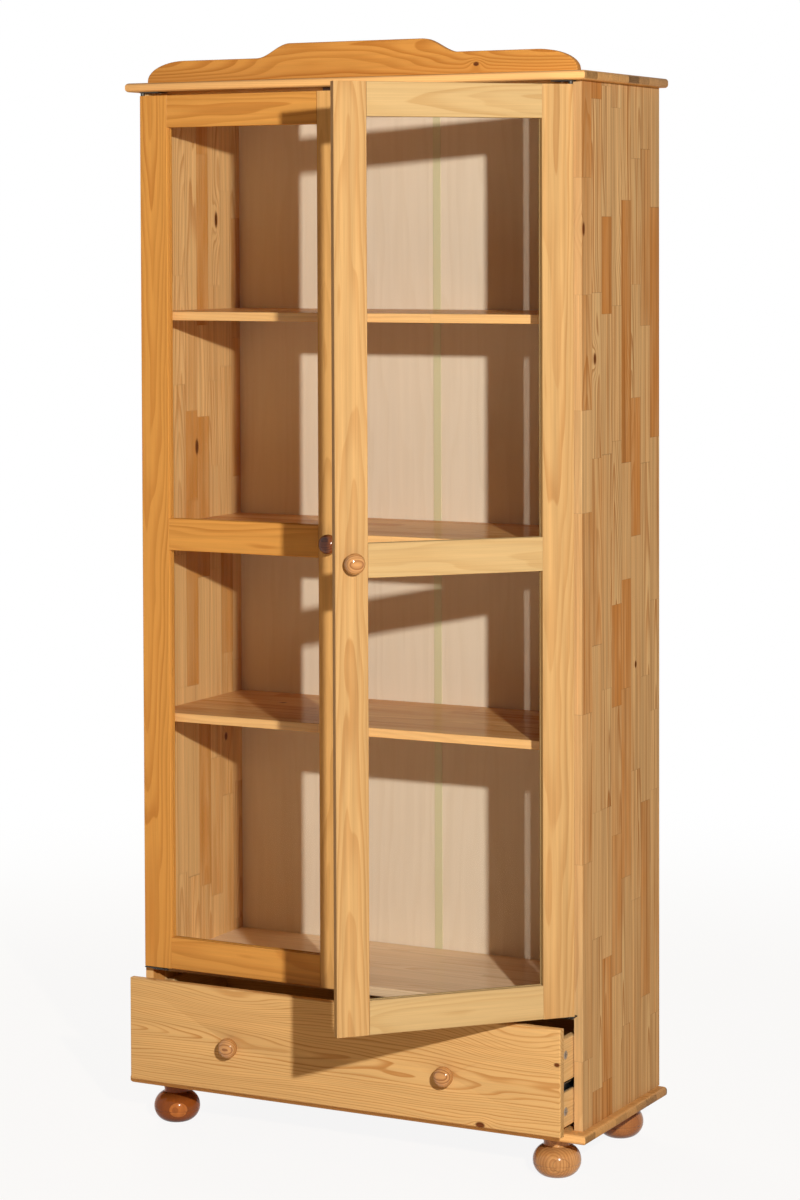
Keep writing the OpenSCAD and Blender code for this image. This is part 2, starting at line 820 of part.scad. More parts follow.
// Screws that hold the drawer back between the sides
module back_screws(play) {
    for (z = back_screw_zs)
        rod_x([drawer_in_x - back_screw_in, drawer_back_y + drawer_side_t / 2, z],
            small_screw_r - hole_play + play, drawer_side_t + back_screw_in);
}

module drawer_back() {
    color("burlywood") difference() {
        beam(-drawer_in_x, drawer_in_x, drawer_back_y, drawer_back_y + drawer_side_t,
            drawer_bottom_low + drawer_bottom_t + 0.2, drawer_side_z + drawer_side_h - 8,
            arris_r);
        both_sides() back_screws(hole_play);
    }
}

module drawer_bottom() {
    color("wheat") block([-drawer_in_x - bottom_groove, face_y + drawer_front_t
        - bottom_groove + 0.2, drawer_bottom_low],
        [drawer_in_x + bottom_groove, drawer_back_y + drawer_side_t,
            drawer_bottom_low + drawer_bottom_t]);
}

module drawer_knob(side) {
    knob([side * drawer_knob_x, face_y, drawer_front_z0 + drawer_knob_z]);
}

module drawer_screws() {
    color("gray") both_sides() {
        knob_screw(drawer_knob_x, face_y, drawer_front_z0 + drawer_knob_z, drawer_front_t);
        back_screws(0);
    }
}

// Round cams with a cross slot, bored for the bolt heads
module drawer_cams() {
    color("silver") both_sides() difference() {
        side_cams(0);
        side_cam_bolts(0.4);
        for (z = cam_zs) {
            y = face_y + drawer_front_t + cam_back;
            block([drawer_out_x - 1.2, y - 4, z - 0.9], [drawer_out_x + 1, y + 4, z + 0.9]);
            block([drawer_out_x - 1.2, y - 0.9, z - 4], [drawer_out_x + 1, y + 0.9, z + 4]);
        }
    }
}

module drawer_cam_bolts() {
    color("gray") both_sides() side_cam_bolts(0);
}

placed() mirror([1, 0, 0]) side_panel();  // side_panel_left
placed() side_panel();  // side_panel_right
placed() top_board();
placed() base_board();
placed() crest_board();
placed() fixed_shelf(floor_z, 0);  // floor_board
placed() loose_shelf(lower_shelf_z);  // shelf_lower
placed() fixed_shelf(middle_shelf_z, shelf_setback);  // shelf_middle
placed() loose_shelf(upper_shelf_z);  // shelf_upper
placed() mirror([1, 0, 0]) back_panel();  // back_panel_left
placed() back_panel();  // back_panel_right
placed() back_joint_strip();
placed() back_nails();
placed() color("silver") both_sides() side_shelf_pins(0);  // shelf_pins
placed() color("tan") union() {  // carcass_dowels
        both_sides() right_dowels(0);
        crest_dowels(0);
    }
placed() foot(-foot_x, foot_ys[0]);  // foot_front_left
placed() foot(foot_x, foot_ys[0]);  // foot_front_right
placed() foot(-foot_x, foot_ys[1]);  // foot_rear_left
placed() foot(foot_x, foot_ys[1]);  // foot_rear_right
placed() foot_dowels();
placed() door_magnets();
placed() pivot_brackets();
placed() color("dimgray") both_sides() cabinet_rail();  // cabinet_rails
placed() cabinet_screws();

left_door_pose() hinge_stile();  // left_hinge_stile
left_door_pose() free_stile();  // left_free_stile
left_door_pose() door_rail(top_rail_z);  // left_top_rail
left_door_pose() door_rail(middle_rail_z);  // left_middle_rail
left_door_pose() door_rail(door_z0);  // left_bottom_rail
left_door_pose() door_glass(upper_open_z);  // left_upper_glass
left_door_pose() door_glass(lower_open_z);  // left_lower_glass
left_door_pose() glass_beads();  // left_glass_beads
left_door_pose() door_knob();  // left_door_knob
left_door_pose() door_screws();  // left_door_screws
left_door_pose() strike_plate();  // left_strike_plate
left_door_pose() pivot_plates();  // left_pivot_plates

right_door_pose() hinge_stile();  // right_hinge_stile
right_door_pose() free_stile();  // right_free_stile
right_door_pose() door_rail(top_rail_z);  // right_top_rail
right_door_pose() door_rail(middle_rail_z);  // right_middle_rail
right_door_pose() door_rail(door_z0);  // right_bottom_rail
right_door_pose() door_glass(upper_open_z);  // right_upper_glass
right_door_pose() door_glass(lower_open_z);  // right_lower_glass
right_door_pose() glass_beads();  // right_glass_beads
right_door_pose() door_knob();  // right_door_knob
right_door_pose() door_screws();  // right_door_screws
right_door_pose() strike_plate();  // right_strike_plate
right_door_pose() pivot_plates();  // right_pivot_plates

drawer_pose() drawer_front();
drawer_pose() mirror([1, 0, 0]) drawer_side();  // drawer_side_left
drawer_pose() drawer_side();  // drawer_side_right
drawer_pose() drawer_back();
drawer_pose() drawer_bottom();
drawer_pose() drawer_knob(-1);  // drawer_knob_left
drawer_pose() drawer_knob(1);  // drawer_knob_right
drawer_pose() drawer_screws();
drawer_pose() drawer_cams();
drawer_pose() drawer_cam_bolts();
drawer_pose() color("lightslategray") both_sides() drawer_rail();  // drawer_rails
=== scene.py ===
"""Looks of a freestanding pine display cabinet: finishes, turned parts, fittings, light and camera."""

import json
import logging
import math
import random
from collections.abc import Iterable, Sequence
from dataclasses import dataclass, field
from enum import Enum

import bmesh
import bpy
from mathutils import Matrix, Vector


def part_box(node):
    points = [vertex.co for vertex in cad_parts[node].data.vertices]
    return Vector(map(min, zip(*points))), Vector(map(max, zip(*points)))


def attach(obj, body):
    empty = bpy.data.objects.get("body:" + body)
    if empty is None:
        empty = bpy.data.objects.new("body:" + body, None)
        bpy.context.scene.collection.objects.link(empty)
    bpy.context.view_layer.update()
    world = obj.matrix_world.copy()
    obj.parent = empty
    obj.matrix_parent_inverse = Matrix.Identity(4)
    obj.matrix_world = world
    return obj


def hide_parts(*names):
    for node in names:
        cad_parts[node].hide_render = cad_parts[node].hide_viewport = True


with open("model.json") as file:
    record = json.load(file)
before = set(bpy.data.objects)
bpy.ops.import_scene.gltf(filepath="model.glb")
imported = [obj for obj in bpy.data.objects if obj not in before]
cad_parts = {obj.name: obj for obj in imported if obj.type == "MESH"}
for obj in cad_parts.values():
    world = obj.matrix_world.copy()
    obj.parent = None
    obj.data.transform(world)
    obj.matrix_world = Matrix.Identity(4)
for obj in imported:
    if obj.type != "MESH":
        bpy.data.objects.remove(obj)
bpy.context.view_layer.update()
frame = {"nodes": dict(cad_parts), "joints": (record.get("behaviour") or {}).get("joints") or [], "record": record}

log = logging.getLogger("cabinet")

MM = 0.001
UP = Vector((0.0, 0.0, 1.0))
FORWARD = Vector((0.0, -1.0, 0.0))
SAME_POINT = 1e-6
SHARP = math.radians(35)
WHITE = (1.0, 1.0, 1.0, 1.0)
SEEN_RAYS = ("Is Camera Ray", "Is Glossy Ray", "Is Transmission Ray")
Point = tuple[float, float]
Triple = tuple[float, float, float]
Rgba = tuple[float, float, float, float]


# Shader maths


def linear(code: str) -> Rgba:
    """Linear colour of a six-digit sRGB code.

    Args:
        code: six hexadecimal digits.

    Returns:
        The colour as the shader wants it, with full alpha.
    """
    values = [int(code[i : i + 2], 16) / 255 for i in (0, 2, 4)]
    return (*(v / 12.92 if v <= 0.04045 else ((v + 0.055) / 1.055) ** 2.4 for v in values), 1.0)


class Socket:
    """A shader socket that adds Math nodes when it meets an operator."""

    def __init__(self, recipe: "Recipe", out: bpy.types.NodeSocket) -> None:
        """Wraps one output of a node of the recipe's tree."""
        self.recipe = recipe
        self.out = out

    def _math(self, operation: str, *values: "Socket | float") -> "Socket":
        """One Math node on the given values."""
        inputs = dict(enumerate(values))
        return self.recipe.node("ShaderNodeMath", {"operation": operation}, inputs)

    def __add__(self, other: "Socket | float") -> "Socket":
        """Sum."""
        return self._math("ADD", self, other)

    def __sub__(self, other: "Socket | float") -> "Socket":
        """Difference."""
        return self._math("SUBTRACT", self, other)

    def __rsub__(self, other: float) -> "Socket":
        """Difference from a number."""
        return self._math("SUBTRACT", other, self)

    def __mul__(self, other: "Socket | float") -> "Socket":
        """Product."""
        return self._math("MULTIPLY", self, other)

    def __truediv__(self, other: "Socket | float") -> "Socket":
        """Quotient."""
        return self._math("DIVIDE", self, other)

    __radd__ = __add__
    __rmul__ = __mul__

    def of(self, operation: str, other: "Socket | float | None" = None) -> "Socket":
        """A named Math operation such as FLOOR, FRACT, SQRT or MINIMUM."""
        return self._math(operation, self) if other is None else self._math(operation, self, other)

    def smooth(self, low: float, high: float) -> "Socket":
        """Smooth step from 0 at low to 1 at high."""
        values = {"Value": self, "From Min": low, "From Max": high}
        return self.recipe.node("ShaderNodeMapRange", {"interpolation_type": "SMOOTHSTEP"}, values)


class Recipe:
    """Shader nodes of a material or of the world, under construction."""

    def __init__(self, owner: bpy.types.Material | bpy.types.World) -> None:
        """Starts an empty tree.

        Args:
            owner: the new material or world.
        """
        owner.use_nodes = True
        self.owner = owner
        self.tree = owner.node_tree
        self.tree.nodes.clear()

    def node(
        self, kind: str, settings: dict | None = None, inputs: dict | None = None, out: int | str = 0
    ) -> Socket:
        """Adds one node.

        Args:
            kind: the node's type.
            settings: its properties, set first.
            inputs: values or sockets by input name or number.
            out: the output wanted.

        Returns:
            The wrapped output socket.
        """
        made = self.tree.nodes.new(kind)
        for key, value in (settings or {}).items():
            setattr(made, key, value)
        for key, value in (inputs or {}).items():
            if isinstance(value, Socket):
                self.tree.links.new(value.out, made.inputs[key])
            else:
                made.inputs[key].default_value = value
        return Socket(self, made.outputs[out])

    def vector(self, operation: str, a: object, b: object = None, scale: object = None) -> Socket:
        """One Vector Math node.

        Args:
            operation: what it does, such as SUBTRACT or SCALE.
            a: its first vector.
            b: its second vector, if it has one.
            scale: the number that SCALE multiplies by.

        Returns:
            Its vector, or its value for a dot product or a length.
        """
        inputs = {k: v for k, v in ((0, a), (1, b), ("Scale", scale)) if v is not None}
        out = "Value" if operation in ("DOT_PRODUCT", "LENGTH") else "Vector"
        return self.node("ShaderNodeVectorMath", {"operation": operation}, inputs, out)

    def combine(self, x: object, y: object, z: object) -> Socket:
        """Vector of three numbers."""
        return self.node("ShaderNodeCombineXYZ", None, {0: x, 1: y, 2: z})

    def place(self) -> Socket:
        """Where the surface lies, in metres."""
        return self.node("ShaderNodeTexCoord", None, None, "Object")

    def noise(self, where: Socket, scale: float, detail: float = 2.0) -> Socket:
        """Noise about zero, from -0.5 to 0.5, at a place."""
        inputs = {"Vector": where, "Scale": scale, "Detail": detail, "Roughness": 0.55}
        return self.node("ShaderNodeTexNoise", None, inputs) - 0.5

    def white_noise(self, *seeds: Socket | float) -> Socket:
        """Draws a random number for each set of seeds.

        Args:
            seeds: one number, or three.

        Returns:
            The number, from 0 to 1.
        """
        settings = {"noise_dimensions": f"{len(seeds)}D"}
        inputs = {"W": seeds[0]} if len(seeds) == 1 else {"Vector": self.combine(*seeds)}
        return self.node("ShaderNodeTexWhiteNoise", settings, inputs)

    def mix(self, amount: object, a: object, b: object) -> Socket:
        """Blend of two colours."""
        settings = {"data_type": "RGBA"}
        return self.node("ShaderNodeMix", settings, {0: amount, 6: a, 7: b}, 2)

    def bump(self, height: Socket, strength: float, distance: float) -> Socket:
        """Normal of a surface that a pattern raises."""
        inputs = {"Strength": strength, "Distance": distance, "Height": height}
        return self.node("ShaderNodeBump", None, inputs)

    def seen(self) -> Socket:
        """Tells which rays show a background to the camera.

        Returns:
            1 for a ray that reaches it straight, mirrored or through glass, and 0 for the others.
        """
        rays = self.node("ShaderNodeLightPath").out.node
        camera, mirror, through = (Socket(self, rays.outputs[name]) for name in SEEN_RAYS)
        return camera.of("MAXIMUM", mirror).of("MAXIMUM", through)

    def blend(self, amount: Socket, a: Socket, b: Socket) -> Socket:
        """Mix of two shaders."""
        return self.node("ShaderNodeMixShader", None, {0: amount, 1: a, 2: b})

    def finish(self, shader: Socket) -> bpy.types.Material | bpy.types.World:
        """Links the shader to the output.

        Args:
            shader: what the surface or the world looks like.

        Returns:
            The finished material or world.
        """
        kind = "World" if isinstance(self.owner, bpy.types.World) else "Material"
        output = self.tree.nodes.new(f"ShaderNodeOutput{kind}")
        self.tree.links.new(shader.out, output.inputs["Surface"])
        return self.owner


# Wood


class Run(Enum):
    """Which way a board lies: its grain, its width and its thickness."""

    SIDE = ((0, 0, 1), (0, 1, 0), (1, 0, 0))
    UPRIGHT = ((0, 0, 1), (1, 0, 0), (0, 1, 0))
    FACE = ((1, 0, 0), (0, 0, 1), (0, 1, 0))
    SHELF = ((1, 0, 0), (0, 1, 0), (0, 0, 1))
    DEPTH = ((0, 1, 0), (0, 0, 1), (1, 0, 0))

    def axes(self, turn: float) -> list[Vector]:
        """The three directions, turned about Z.

        Args:
            turn: angle in radians, as the door that holds the board stands.

        Returns:
            Directions along the grain, the width and the thickness.
        """
        return [Matrix.Rotation(turn, 3, "Z") @ Vector(v) for v in self.value]


@dataclass(frozen=True)
class Knot:
    """A knot, or the swell of rings over a hidden one, in millimetres from the board's middle.

    Attributes:
        along: its place along the grain.
        across: its place across the board.
        radius: its size across the grain.
        stretch: how much longer it is along the grain.
        shows: whether its own dark wood reaches the face.
    """

    along: float
    across: float
    radius: float
    stretch: float = 1.5
    shows: bool = True


@dataclass(frozen=True)
class Wood:
    """A lacquered pine finish.

    Attributes:
        early: colour of the pale part of each ring.
        late: colour of its dark part, and of the veins.
        warm: colour of the clouds and of the warmer pieces.
        ring_mm: width of a ring.
        contrast: how much of the late colour the rings show.
        depth_mm: how far the pith lies from the board's middle, through its thickness.
        tilt: how much the pith leans from the board's length.
        warp_mm: how far the rings wander.
        strip_mm: width of a glued strip, or 0 for a board in one piece.
        piece_mm: length of a strip's pieces.
        strip_change: how much warmer one piece is than another.
        warm_from: share of the pieces that stay pale.
        end_dark: how much darker the end grain of a warm piece is.
        late_from: where in the ring its dark part starts.
        streaks: strength of the broad streaks.
        painted_edge_light: how much lighter the narrow edges are painted, a painted highlight where light catches
            them.
        veins: strength of the thin dark veins.
        fibre: strength of the finest grain.
        shine: mirror level of the wood below the lacquer.
        roughness: mean roughness.
        coat: weight of the lacquer.
    """

    early: str
    late: str
    warm: str
    ring_mm: float = 3.2
    contrast: float = 0.75
    depth_mm: float = 45.0
    tilt: float = 0.02
    warp_mm: float = 9.0
    strip_mm: float = 0.0
    piece_mm: float = 420.0
    strip_change: float = 0.0
    warm_from: float = 0.0
    end_dark: float = 0.3
    late_from: float = 0.25
    streaks: float = 0.25
    painted_edge_light: float = 0.0
    veins: float = 0.15
    fibre: float = 0.22
    shine: float = 0.0
    roughness: float = 0.4
    coat: float = 0.12


DOOR_LEFT = Wood("E0A050", "B46A26", "C2782E", contrast=0.55, depth_mm=80, tilt=0.012)
PALE_STILE = Wood("E4B06C", "C08748", "CC9856", contrast=0.45, depth_mm=80, tilt=0.012)
STILE_RIGHT = Wood("CAA26C", "AE7A44", "BC8A50", contrast=0.6, streaks=0.5, depth_mm=80, tilt=0.012)
RAIL_RIGHT = Wood("CAAB79", "B0864E", "BC9258", contrast=0.45, depth_mm=80, tilt=0.012)
TOP_PINE = Wood("E2B072", "B67A3A", "C48646", strip_mm=44, strip_change=0.3, piece_mm=2600,
                tilt=0.01, end_dark=0.5, painted_edge_light=0.36)
BASE_PINE = Wood("E4B070", "B87E40", "C88E4C", strip_mm=44, strip_change=0.3, piece_mm=2600,
                 tilt=0.01, end_dark=0.45, painted_edge_light=0.15)
CREST_PINE = Wood("DF9C4C", "B66C24", "C67F34", ring_mm=3.6, tilt=0.01, depth_mm=40)
DRAWER_PINE = Wood("E4B87A", "BA7A38", "D29E5C", ring_mm=4.2, contrast=0.75, depth_mm=24,
                   tilt=0.03, warp_mm=20, late_from=0.5)
SIDE_PINE = Wood("D2AD7A", "A0642C", "BA7E42", contrast=0.75, depth_mm=34, strip_mm=41.5,
                 strip_change=0.8, warm_from=0.1, piece_mm=260, streaks=0.8, veins=0.8,
                 painted_edge_light=0.08, coat=0.04)
SIDE_LEFT = Wood("E8BE82", "B87838", "CC8E48", contrast=0.6, depth_mm=34, strip_mm=41.5,
                 strip_change=0.8, warm_from=0.3, piece_mm=260, streaks=0.5, veins=0.4,
                 painted_edge_light=0.1, coat=0.04)
INNER_PINE = Wood("E6B678", "B87A3C", "C48244", contrast=0.7, strip_mm=46, strip_change=0.6,
                  piece_mm=500, veins=0.6, painted_edge_light=0.3, coat=0.4)
# Pine of the floor board, paler than the shelves: its own colour with a painted sheen for the reflection over it.
FLOOR_PINE_PAINTED_SHEEN = Wood("F4D8B4", "DAB286", "DEB890", contrast=0.6, strip_mm=46, strip_change=0.5,
                  veins=0.5, piece_mm=900, coat=0.35)
BACK_PLY = Wood("ECDCC6", "DCC6A8", "DFC8AC", ring_mm=30.0, contrast=0.2, depth_mm=22, tilt=0.012,
                warp_mm=70, late_from=0.3, streaks=0.08, veins=0.0, fibre=0.06, roughness=0.5,
                coat=0.02)
BARE_PINE = Wood("E2BA82", "C79656", "D0A268", contrast=0.5, roughness=0.55, coat=0.0)
TURNED = Wood("D49E62", "945A2C", "A06434", ring_mm=4.5, contrast=0.6, depth_mm=30,
              strip_mm=26, strip_change=1.0, piece_mm=900, shine=0.08, roughness=0.16,
              coat=0.3)
TURNED_DARK = Wood("BC7034", "84441A", "8E4C1E", ring_mm=4.5, contrast=0.55, depth_mm=30,
                   strip_mm=26, strip_change=1.0, piece_mm=900, shine=0.04, roughness=0.18,
                   coat=0.22)
KNOB_PINE = Wood("D29A5E", "8E5424", "A5672F", ring_mm=4.2, contrast=0.9, depth_mm=26,
                 shine=0.1, roughness=0.14, coat=0.5)
# Knob of the left door: partly a darker wood, partly painted shade for the right door's shadow that falls on it.
KNOB_DARK_AND_SHADED = Wood("8A4A20", "54280E", "6A3414", ring_mm=4.2, contrast=0.8, depth_mm=26,
                 shine=0.1, roughness=0.14, coat=0.5)


@dataclass(frozen=True)
class Grain:
    """Cycles per millimetre of a layer of noise that is drawn out along the grain."""

    along: float
    across: float


WARP_GRAIN = Grain(0.0022, 0.016)
FIBRE_GRAIN = Grain(0.012, 0.9)
STREAK_GRAIN = Grain(0.002, 0.11)
VEIN_GRAIN = Grain(0.0016, 0.15)


@dataclass(frozen=True)
class Piece:
    """The glued piece that a place of a board belongs to.

    Attributes:
        warm: how warm it is, from 0 to 1.
        edge: 1 on its joint line.
        pith_across: where its pith lies across the board, in millimetres.
        pith_depth: how far its pith lies from the board's middle, through the thickness.
    """

    warm: Socket
    edge: Socket
    pith_across: Socket | float
    pith_depth: Socket | float


class WoodShader(Recipe):
    """Pine as a solid texture: growth rings round a pith that the board was sawn beside.

    A place on a board is given by millimetres from its middle, along the grain, across the width
    and through the thickness.
    """

    # How far apart in the noise two pieces of wood lie, and how far from the middle a pith may lie.
    FAR = 40.0
    PITH_MM = 12
    # Slants between which a face comes to look along an axis.
    FACING = (0.45, 0.95)
    # Strength of the faintest ring, where a ring is darkest, and where it ends.
    RING_LEAST = 0.45
    RING_DARKEST = 0.9
    RING_END = (0.92, 1.0)
    # How far the rings swell over a knot in its radii, how fast that falls, and its own soft edge.
    KNOT_SWELL = 1.6
    KNOT_FALL = 0.22
    KNOT_EDGE = (0.55, 1.05)
    HEART = (linear("7A4420"), linear("4A260F"))
    # Scale of the clouds of colour, and the noise between which a vein comes in.
    CLOUD_SCALE = 2.3
    VEIN_EDGE = (0.05, 0.22)
    # How a strip's butt joints wander and stagger, and how far apart its pieces' piths lie.
    DRIFT_PER_MM = 0.0026
    DRIFT = 1.6
    STAGGER = 9.0
    PITH_SPREAD_MM = 160.0
    # Distances from a joint between which its line fades out.
    JOINT_MM = (0.1, 0.6)
    # How much darker a joint line and the end grain are.
    JOINT_DARK = 0.25
    END_DARK = 0.2
    # Strength and depth of the relief, what raises and lowers it, and the lacquer's own roughness.
    RELIEF = (0.35, 0.3 * MM)
    FIBRE_RISE = 2.2
    LATE_SINK = 0.25
    JOINT_SINK = 0.8
    LACQUER_ROUGHNESS = 0.12

    def __init__(self, name: str, wood: Wood, low: Vector, high: Vector, run: Run, turn: float,
                 knots: Sequence[Knot] = ()) -> None:
        """Builds the material of one board.

        Args:
            name: the board's name, which also seeds its own grain.
            wood: the finish.
            low: the board's lowest corner.
            high: its highest corner.
            run: how the board lies.
            turn: how far it is turned about Z.
            knots: its knots.
        """
        super().__init__(bpy.data.materials.new(f"{name}_wood"))
        self.wood = wood
        self.random = random.Random(name)
        axes = run.axes(turn)
        local = self.vector("SUBTRACT", self.place(), tuple((low + high) / 2))
        self.ways = [self.vector("DOT_PRODUCT", local, tuple(axis / MM)) for axis in axes]
        # The narrow edges that rim marks get a painted highlight further down.
        self.end_grain, self.rim = self.facing(axes[0]), self.facing(axes[1])
        self.material = self.shade(knots)

    def facing(self, axis: Vector) -> Socket:
        """1 on faces that look along an axis."""
        normal = self.node("ShaderNodeNewGeometry", None, None, "Normal")
        return self.vector("DOT_PRODUCT", normal, tuple(axis)).of("ABSOLUTE").smooth(*self.FACING)

    def layer(self, grain: Grain, *starts: Socket | float) -> Socket:
        """Place in one layer of noise.

        Args:
            grain: how the layer is drawn out.
            starts: where it starts along, across and through the board.

        Returns:
            The place as a vector.
        """
        scales = (grain.along, grain.across, grain.across)
        parts = (way * scale + start for way, scale, start in zip(self.ways, scales, starts))
        return self.combine(*parts)

    def shade(self, knots: Sequence[Knot]) -> bpy.types.Material:
        """Lays out the rings and the finer grain, and makes the surface.

        Args:
            knots: the board's knots.

        Returns:
            The finished material.
        """
        wood, draw = self.wood, self.random
        along, across, through = self.ways
        shift = [draw.uniform(0, self.FAR) for _ in range(3)]
        # Glued strips have piths of their own, but every board takes this draw.
        pith_across = draw.uniform(-self.PITH_MM, self.PITH_MM)
        piece = self.strips() if wood.strip_mm else self.one_piece(pith_across)
        other_wood = piece.warm * self.FAR + shift[2]
        coarse = self.layer(WARP_GRAIN, shift[0], shift[1], other_wood)
        warp = self.noise(coarse, 1.0) * (2 * wood.warp_mm)
        lean = draw.choice((-1, 1)) * wood.tilt
        side = across + along * (lean * 0.5) - piece.pith_across
        depth = through + along * lean + piece.pith_depth
        radius = (side * side + depth * depth).of("SQRT") + warp
        radius, knot_mask = self.bent(radius, warp, knots)
        rings = radius / wood.ring_mm
        part = rings.of("FRACT")
        late = part.smooth(wood.late_from, self.RING_DARKEST) * (1 - part.smooth(*self.RING_END))
        fibre = self.noise(self.layer(FIBRE_GRAIN, 0.0, 0.0, 0.0), 1.0, 3.0)
        streak = self.noise(self.layer(STREAK_GRAIN, 0.0, shift[0], other_wood), 1.0)
        vein = self.noise(self.layer(VEIN_GRAIN, 0.0, 0.0, other_wood), 1.0)
        cloud = self.noise(coarse, self.CLOUD_SCALE)
        colour = self.stain(rings, late, piece.warm, cloud, vein)
        if knot_mask is not None:
            colour = self.mix(knot_mask, colour, self.mix(part * 0.6, *self.HEART))
        # Painted highlight on the narrow edges: a paler colour here, and a lighter tone below.
        if wood.painted_edge_light:
            colour = self.mix(self.rim * 0.6, colour, linear(wood.early))
        tone = 1.0 + self.rim * wood.painted_edge_light + fibre * wood.fibre + streak * wood.streaks
        tone = tone - piece.edge * self.JOINT_DARK
        tone = tone - self.end_grain * (piece.warm * wood.end_dark + self.END_DARK)
        height = fibre * (wood.fibre * self.FIBRE_RISE) - late * self.LATE_SINK
        height = height - piece.edge * self.JOINT_SINK
        return self.finish(self.node("ShaderNodeBsdfPrincipled", None, {
            "Base Color": self.vector("SCALE", colour, None, tone),
            "Roughness": wood.roughness + fibre * 0.12,
            "Normal": self.bump(height, *self.RELIEF),
            "Coat Weight": wood.coat,
            "Coat Roughness": self.LACQUER_ROUGHNESS,
            "Specular IOR Level": wood.shine,
        }))

    def bent(self, radius: Socket, warp: Socket, knots: Sequence[Knot]
             ) -> tuple[Socket, Socket | None]:
        """Bends the rings round the knots.

        Args:
            radius: distance from the pith.
            warp: how far the rings wander.
            knots: the board's knots.

        Returns:
            The new radius, and where the knots' own wood shows, if it shows at all.
        """
        along, across, _ = self.ways
        mask: Socket | None = None
        for knot in knots:
            x = (along - knot.along) / (knot.stretch * knot.radius)
            y = (across - knot.across) / knot.radius
            reach = (x * x + y * y).of("SQRT")
            swell = (reach * reach * -self.KNOT_FALL).of("EXPONENT")
            radius = radius + swell * (self.KNOT_SWELL * knot.radius)
            if knot.shows:
                heart = 1 - (reach + warp * 0.02).smooth(*self.KNOT_EDGE)
                mask = heart if mask is None else mask.of("MAXIMUM", heart)
        return radius, mask

    def stain(self, rings: Socket, late: Socket, warm: Socket, cloud: Socket, vein: Socket) -> Socket:
        """Colour of the clear wood.

        Args:
            rings: distance from the pith in rings.
            late: how dark the ring is here.
            warm: how warm the piece is.
            cloud: soft changes of colour.
            vein: noise that gives the veins.

        Returns:
            The colour before its finer tones.
        """
        wood = self.wood
        strength = self.white_noise(rings.of("FLOOR"))
        amount = late * (strength * (1 - self.RING_LEAST) + self.RING_LEAST) * wood.contrast
        colour = self.mix(amount, linear(wood.early), linear(wood.late))
        warmth = (warm * wood.strip_change + cloud * 0.9).smooth(0.1, 1.0)
        colour = self.mix(warmth, colour, linear(wood.warm))
        return self.mix(vein.smooth(*self.VEIN_EDGE) * wood.veins, colour, linear(wood.late))

    def one_piece(self, pith_across: float) -> Piece:
        """The single piece of a board that isn't glued up."""
        none = self.ways[0] * 0.0
        return Piece(none, none, pith_across, self.wood.depth_mm * self.random.uniform(0.8, 1.2))

    def strips(self) -> Piece:
        """Glued strips with staggered butt joints.

        Returns:
            The piece at each place.
        """
        wood, draw = self.wood, self.random
        along, across, _ = self.ways
        lane = across / wood.strip_mm + draw.uniform(0, 1)
        strip = lane.of("FLOOR")
        seed = draw.uniform(0, 99)
        start = self.white_noise(strip, seed, 0.5)
        drift = self.noise(self.combine(along * self.DRIFT_PER_MM, strip * 7.3, seed), 1.0, 0.0)
        track = along / wood.piece_mm + start * self.STAGGER + drift * self.DRIFT
        number = track.of("FLOOR")
        cell = self.white_noise(strip, number, seed)
        other = self.white_noise(number, strip, seed + 3.0)
        lane_part, piece_part = lane.of("FRACT"), track.of("FRACT")
        to_side = lane_part.of("MINIMUM", 1 - lane_part) * wood.strip_mm
        to_end = piece_part.of("MINIMUM", 1 - piece_part) * wood.piece_mm
        edge = 1 - to_side.of("MINIMUM", to_end).smooth(*self.JOINT_MM)
        centre = (strip + 0.5 - draw.uniform(0, 1)) * wood.strip_mm
        pith_across = centre + (other - 0.5) * self.PITH_SPREAD_MM
        pith_depth = (cell * 0.8 + 0.4) * wood.depth_mm
        return Piece(cell.smooth(wood.warm_from, 1.0), edge, pith_across, pith_depth)


@dataclass(frozen=True)
class Plain:
    """A metal or plastic finish with a faint grain.

    Attributes:
        name: the material's name.
        colour: sRGB code.
        roughness: mean roughness.
        metal: 1 for metal.
        grain: how much the brightness varies.
        grain_scale: how fine the variation is.
    """

    name: str
    colour: str
    roughness: float
    metal: float = 0.0
    grain: float = 0.0
    grain_scale: float = 900.0

    def material(self) -> bpy.types.Material:
        """Makes the finish.

        Returns:
            The material.
        """
        recipe = Recipe(bpy.data.materials.new(self.name))
        mottle = recipe.noise(recipe.place(), self.grain_scale, 3.0)
        smear = recipe.noise(recipe.place(), self.grain_scale / 12)
        tone = 1.0 + mottle * self.grain + smear * self.grain
        return recipe.finish(recipe.node("ShaderNodeBsdfPrincipled", None, {
            "Base Color": recipe.vector("SCALE", linear(self.colour)[:3], None, tone),
            "Metallic": self.metal,
            "Roughness": self.roughness + smear * 0.3,
            "Normal": recipe.bump(mottle, 0.15, 0.1 * MM),
        }))


FITTINGS = {
    "bright_steel": Plain("bright_zinc", "A8A49C", 0.34, 1.0, 0.10),
    "screw_steel": Plain("screw_zinc", "B4AFA5", 0.34, 1.0, 0.15),
    "runner_steel": Plain("runner_zinc", "6E7276", 0.28, 1.0, 0.12),
    "brown_plastic": Plain("brown_plastic", "4A2E1A", 0.5, 0.0, 0.1),
    "green_strip": Plain("joint_strip", "D8D0A8", 0.42, 0.0, 0.06, 300.0),
}
# Zinc of the pivot brackets, darkened as painted shade for the shadow under the top board.
PIVOT_ZINC_PAINTED_SHADE = Plain("pivot_zinc_painted_shade", "4E4A44", 0.5, 1.0, 0.1)


